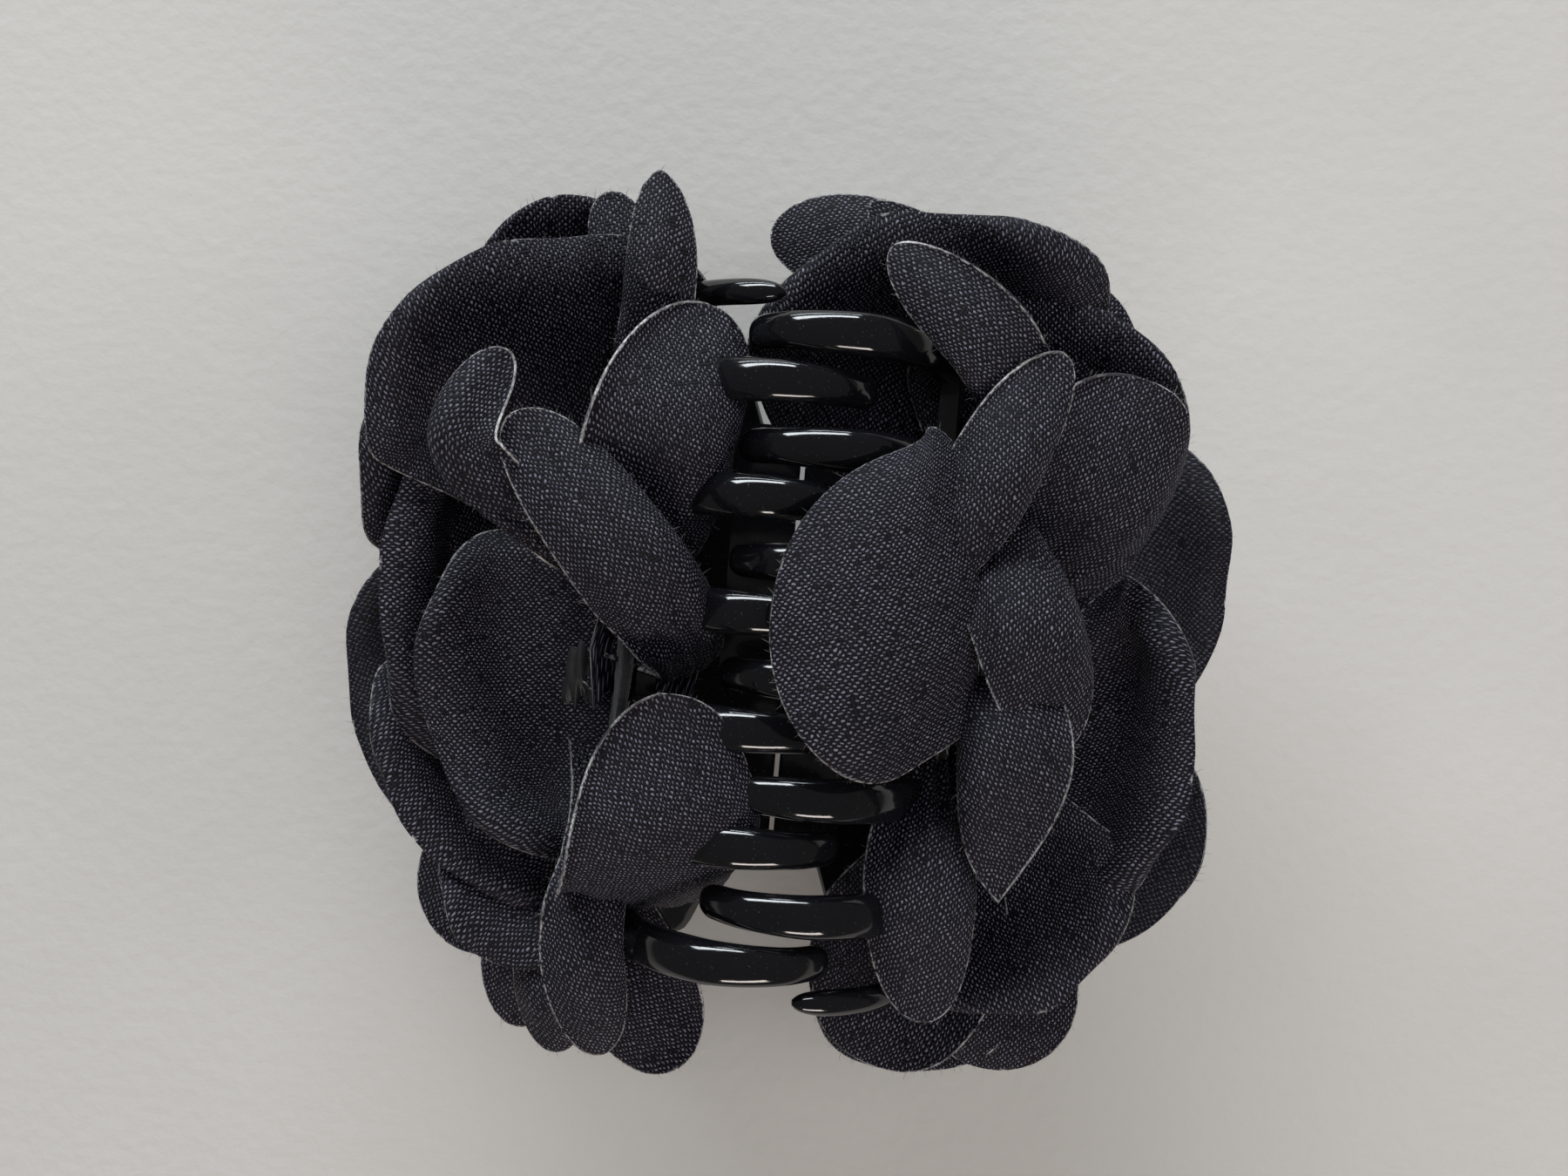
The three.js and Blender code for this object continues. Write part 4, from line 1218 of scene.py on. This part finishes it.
# %% Threads along an edge
def frayed(tree, wires):
    def chance(kind, low, high, seed):
        first, last, out = {"FLOAT": (2, 3, 1), "FLOAT_VECTOR": (0, 1, 0)}[kind]
        sockets = {first: low, last: high, "Seed": seed}
        return tree.add("FunctionNodeRandomValue", {"data_type": kind}, sockets).out(out)

    outward = tree.add("GeometryNodeInputNamedAttribute", {"data_type": "FLOAT_VECTOR"}, {"Name": "outward"})
    rims = tree.add("GeometryNodeMeshToCurve", {}, {0: wires["Geometry"]})
    sockets = {"Curve": rims.out(0), "Length": wires["Pitch"]}
    points = tree.add("GeometryNodeResampleCurve", {"mode": "LENGTH"}, sockets)
    cloud = tree.add("GeometryNodeCurveToPoints", {"mode": "EVALUATED"}, {0: points.out(0)})
    drift = chance("FLOAT_VECTOR", (-0.00012,) * 3, (0.00012,) * 3, 5)
    shift = tree.add("GeometryNodeSetPosition", {}, {0: cloud.out(0), "Offset": drift})
    scatter = chance("FLOAT_VECTOR", (-0.75,) * 3, (0.75,) * 3, wires["Seed"])
    lean = tree.add("ShaderNodeVectorMath", {"operation": "ADD"}, {0: outward.out(0), 1: scatter}).out(0)
    turn = tree.add("FunctionNodeAlignRotationToVector", {"axis": "Z"}, {"Vector": lean}).out(0)
    keep = chance("FLOAT", 0.0, 1.0, 3) < wires["Share kept"]
    size = chance("FLOAT", 0.0, 1.0, 4) ** 3.0 * 0.9 + 0.22
    pattern = tree.add("GeometryNodeObjectInfo", {}, {"Object": wires["Hair"]}).out("Geometry")
    sockets = {"Points": shift.out(0), "Selection": keep, "Instance": pattern}
    hairs = tree.add("GeometryNodeInstanceOnPoints", {}, {**sockets, "Rotation": turn, "Scale": size})
    return finished(tree, hairs.out(0), wires["Finish"])


fray_inputs = {"Hair": "Object", "Pitch": "Float", "Share kept": "Float", "Seed": "Int", "Finish": "Material"}
fray_group = geometry_tree("frayed_edge", fray_inputs, frayed)
one_hair = hair("one_hair")

# %% Threads on both flowers
def thread_finish(tree):
    # Pale patches on the dark threads are a painted highlight, the light that loose yarn ends catch.
    painted_thread_glints = tree.noise(tree.place(), 700.0, 2.0)
    colour = tree.mix_colours((painted_thread_glints * 2.2 - 0.7).clamped(), (0.02, 0.02, 0.024, 1), (0.22, 0.22, 0.23, 1))
    return {"Base Color": colour, "Roughness": 0.7}


loose_thread = material("loose_thread", thread_finish)

for side, petals in flowers.items():
    rims = bpy.data.meshes.new("rims")
    points, outward, edges = [], [], []
    for petal in petals:
        first = len(points)
        points += [point for point, away in petal.edge]
        outward += [away.normalized() for point, away in petal.edge]
        edges += [(i, i + 1) for i in range(first, len(points) - 1)]
    rims.from_pydata(points, edges, [])
    layer = rims.attributes.new("outward", "FLOAT_VECTOR", "POINT")
    layer.data.foreach_set("vector", [v for away in outward for v in away])
    settings = {"Hair": one_hair, "Pitch": 0.35 * MM, "Share kept": 0.55, "Seed": 7, "Finish": loose_thread}
    frays = grown(linked("rims", rims), fray_group, settings, f"{side}_frayed_threads")
    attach(frays, f"{side}_side")
bpy.data.objects.remove(one_hair)

# %% [markdown]
# ## Felt pads and glue
# Between each flower and its jaw is an oval of felt, glued to the plate, and on it the lump of hot glue that
# the petals are pushed into. Both are nearly hidden, but they show through gaps from the side. The felt is a
# thin sheet bent over the plate. The glue is a mound that settled unevenly, so its surface is pushed about
# by a slow noise.

# %% Felt
FELT_TOP, FELT_BOTTOM = profile.nearest(-15.6, 49), profile.nearest(-14, 28.4)
FELT_THICKNESS, FELT_HALF_LENGTH = 1.2, 25
FELT_LIFT = WALL * 0.75 + 0.3 + FELT_THICKNESS / 2


def felt_half_length(share):
    return FELT_HALF_LENGTH * sqrt(max(0.03, 1 - (2 * share - 1) ** 2))


def felt_pad(name):
    rows, columns, points = 20, 40, []
    for i in range(rows + 1):
        share = i / rows
        centre, _, outward = off_profile(FELT_TOP + (FELT_BOTTOM - FELT_TOP) * share)
        for j in range(columns + 1):
            y = (2 * j / columns - 1) * felt_half_length(share)
            limp = noise.noise(Vector((share * 4, y * 0.12, 3.0))) * 0.15
            points.append(centre + outward * (FELT_LIFT + limp) + Vector((0, y, 0)))
    return cloth_piece(name, points, grid_faces(rows, columns), [felt_black], FELT_THICKNESS)


felt_width = (FELT_BOTTOM - FELT_TOP) * profile.length
felt_area = sum(2 * felt_half_length((i + 0.5) / 50) for i in range(50)) / 50 * felt_width
for side in ("left", "right"):
    pad = felt_pad(f"{side}_felt")
    if side == "right":
        pad.data.transform(HALF_TURN)
    place_in_clip(pad, f"{side}_side", f"{side}_felt_pad")
    felt_area * MM * MM
print("felt", round(felt_width, 1), "by", 2 * FELT_HALF_LENGTH, "mm")

# %% Glue mounds
for side, x in (("left", -MOUND_X), ("right", MOUND_X)):
    work = bmesh.new()
    bmesh.ops.create_icosphere(work, subdivisions=5, radius=1)
    for vertex in work.verts:
        lumps, grains = noise.noise(vertex.co * 2.2 + Vector((x, 0, 0))), noise.noise(vertex.co * 6.5)
        half = Vector(MOUND_HALF) * (1 + lumps * 0.22 + grains * 0.06) * 0.96
        vertex.co = placed(x + vertex.co.x * half.x, vertex.co.y * half.y, MOUND_Z + vertex.co.z * half.z)
    mesh = bpy.data.meshes.new(f"{side}_glue")
    work.to_mesh(mesh)
    work.free()
    mound = linked(f"{side}_glue", mesh)
    dress(mound, glue_black, crease=180)
    place_in_clip(mound, f"{side}_side", f"{side}_glue_mound")
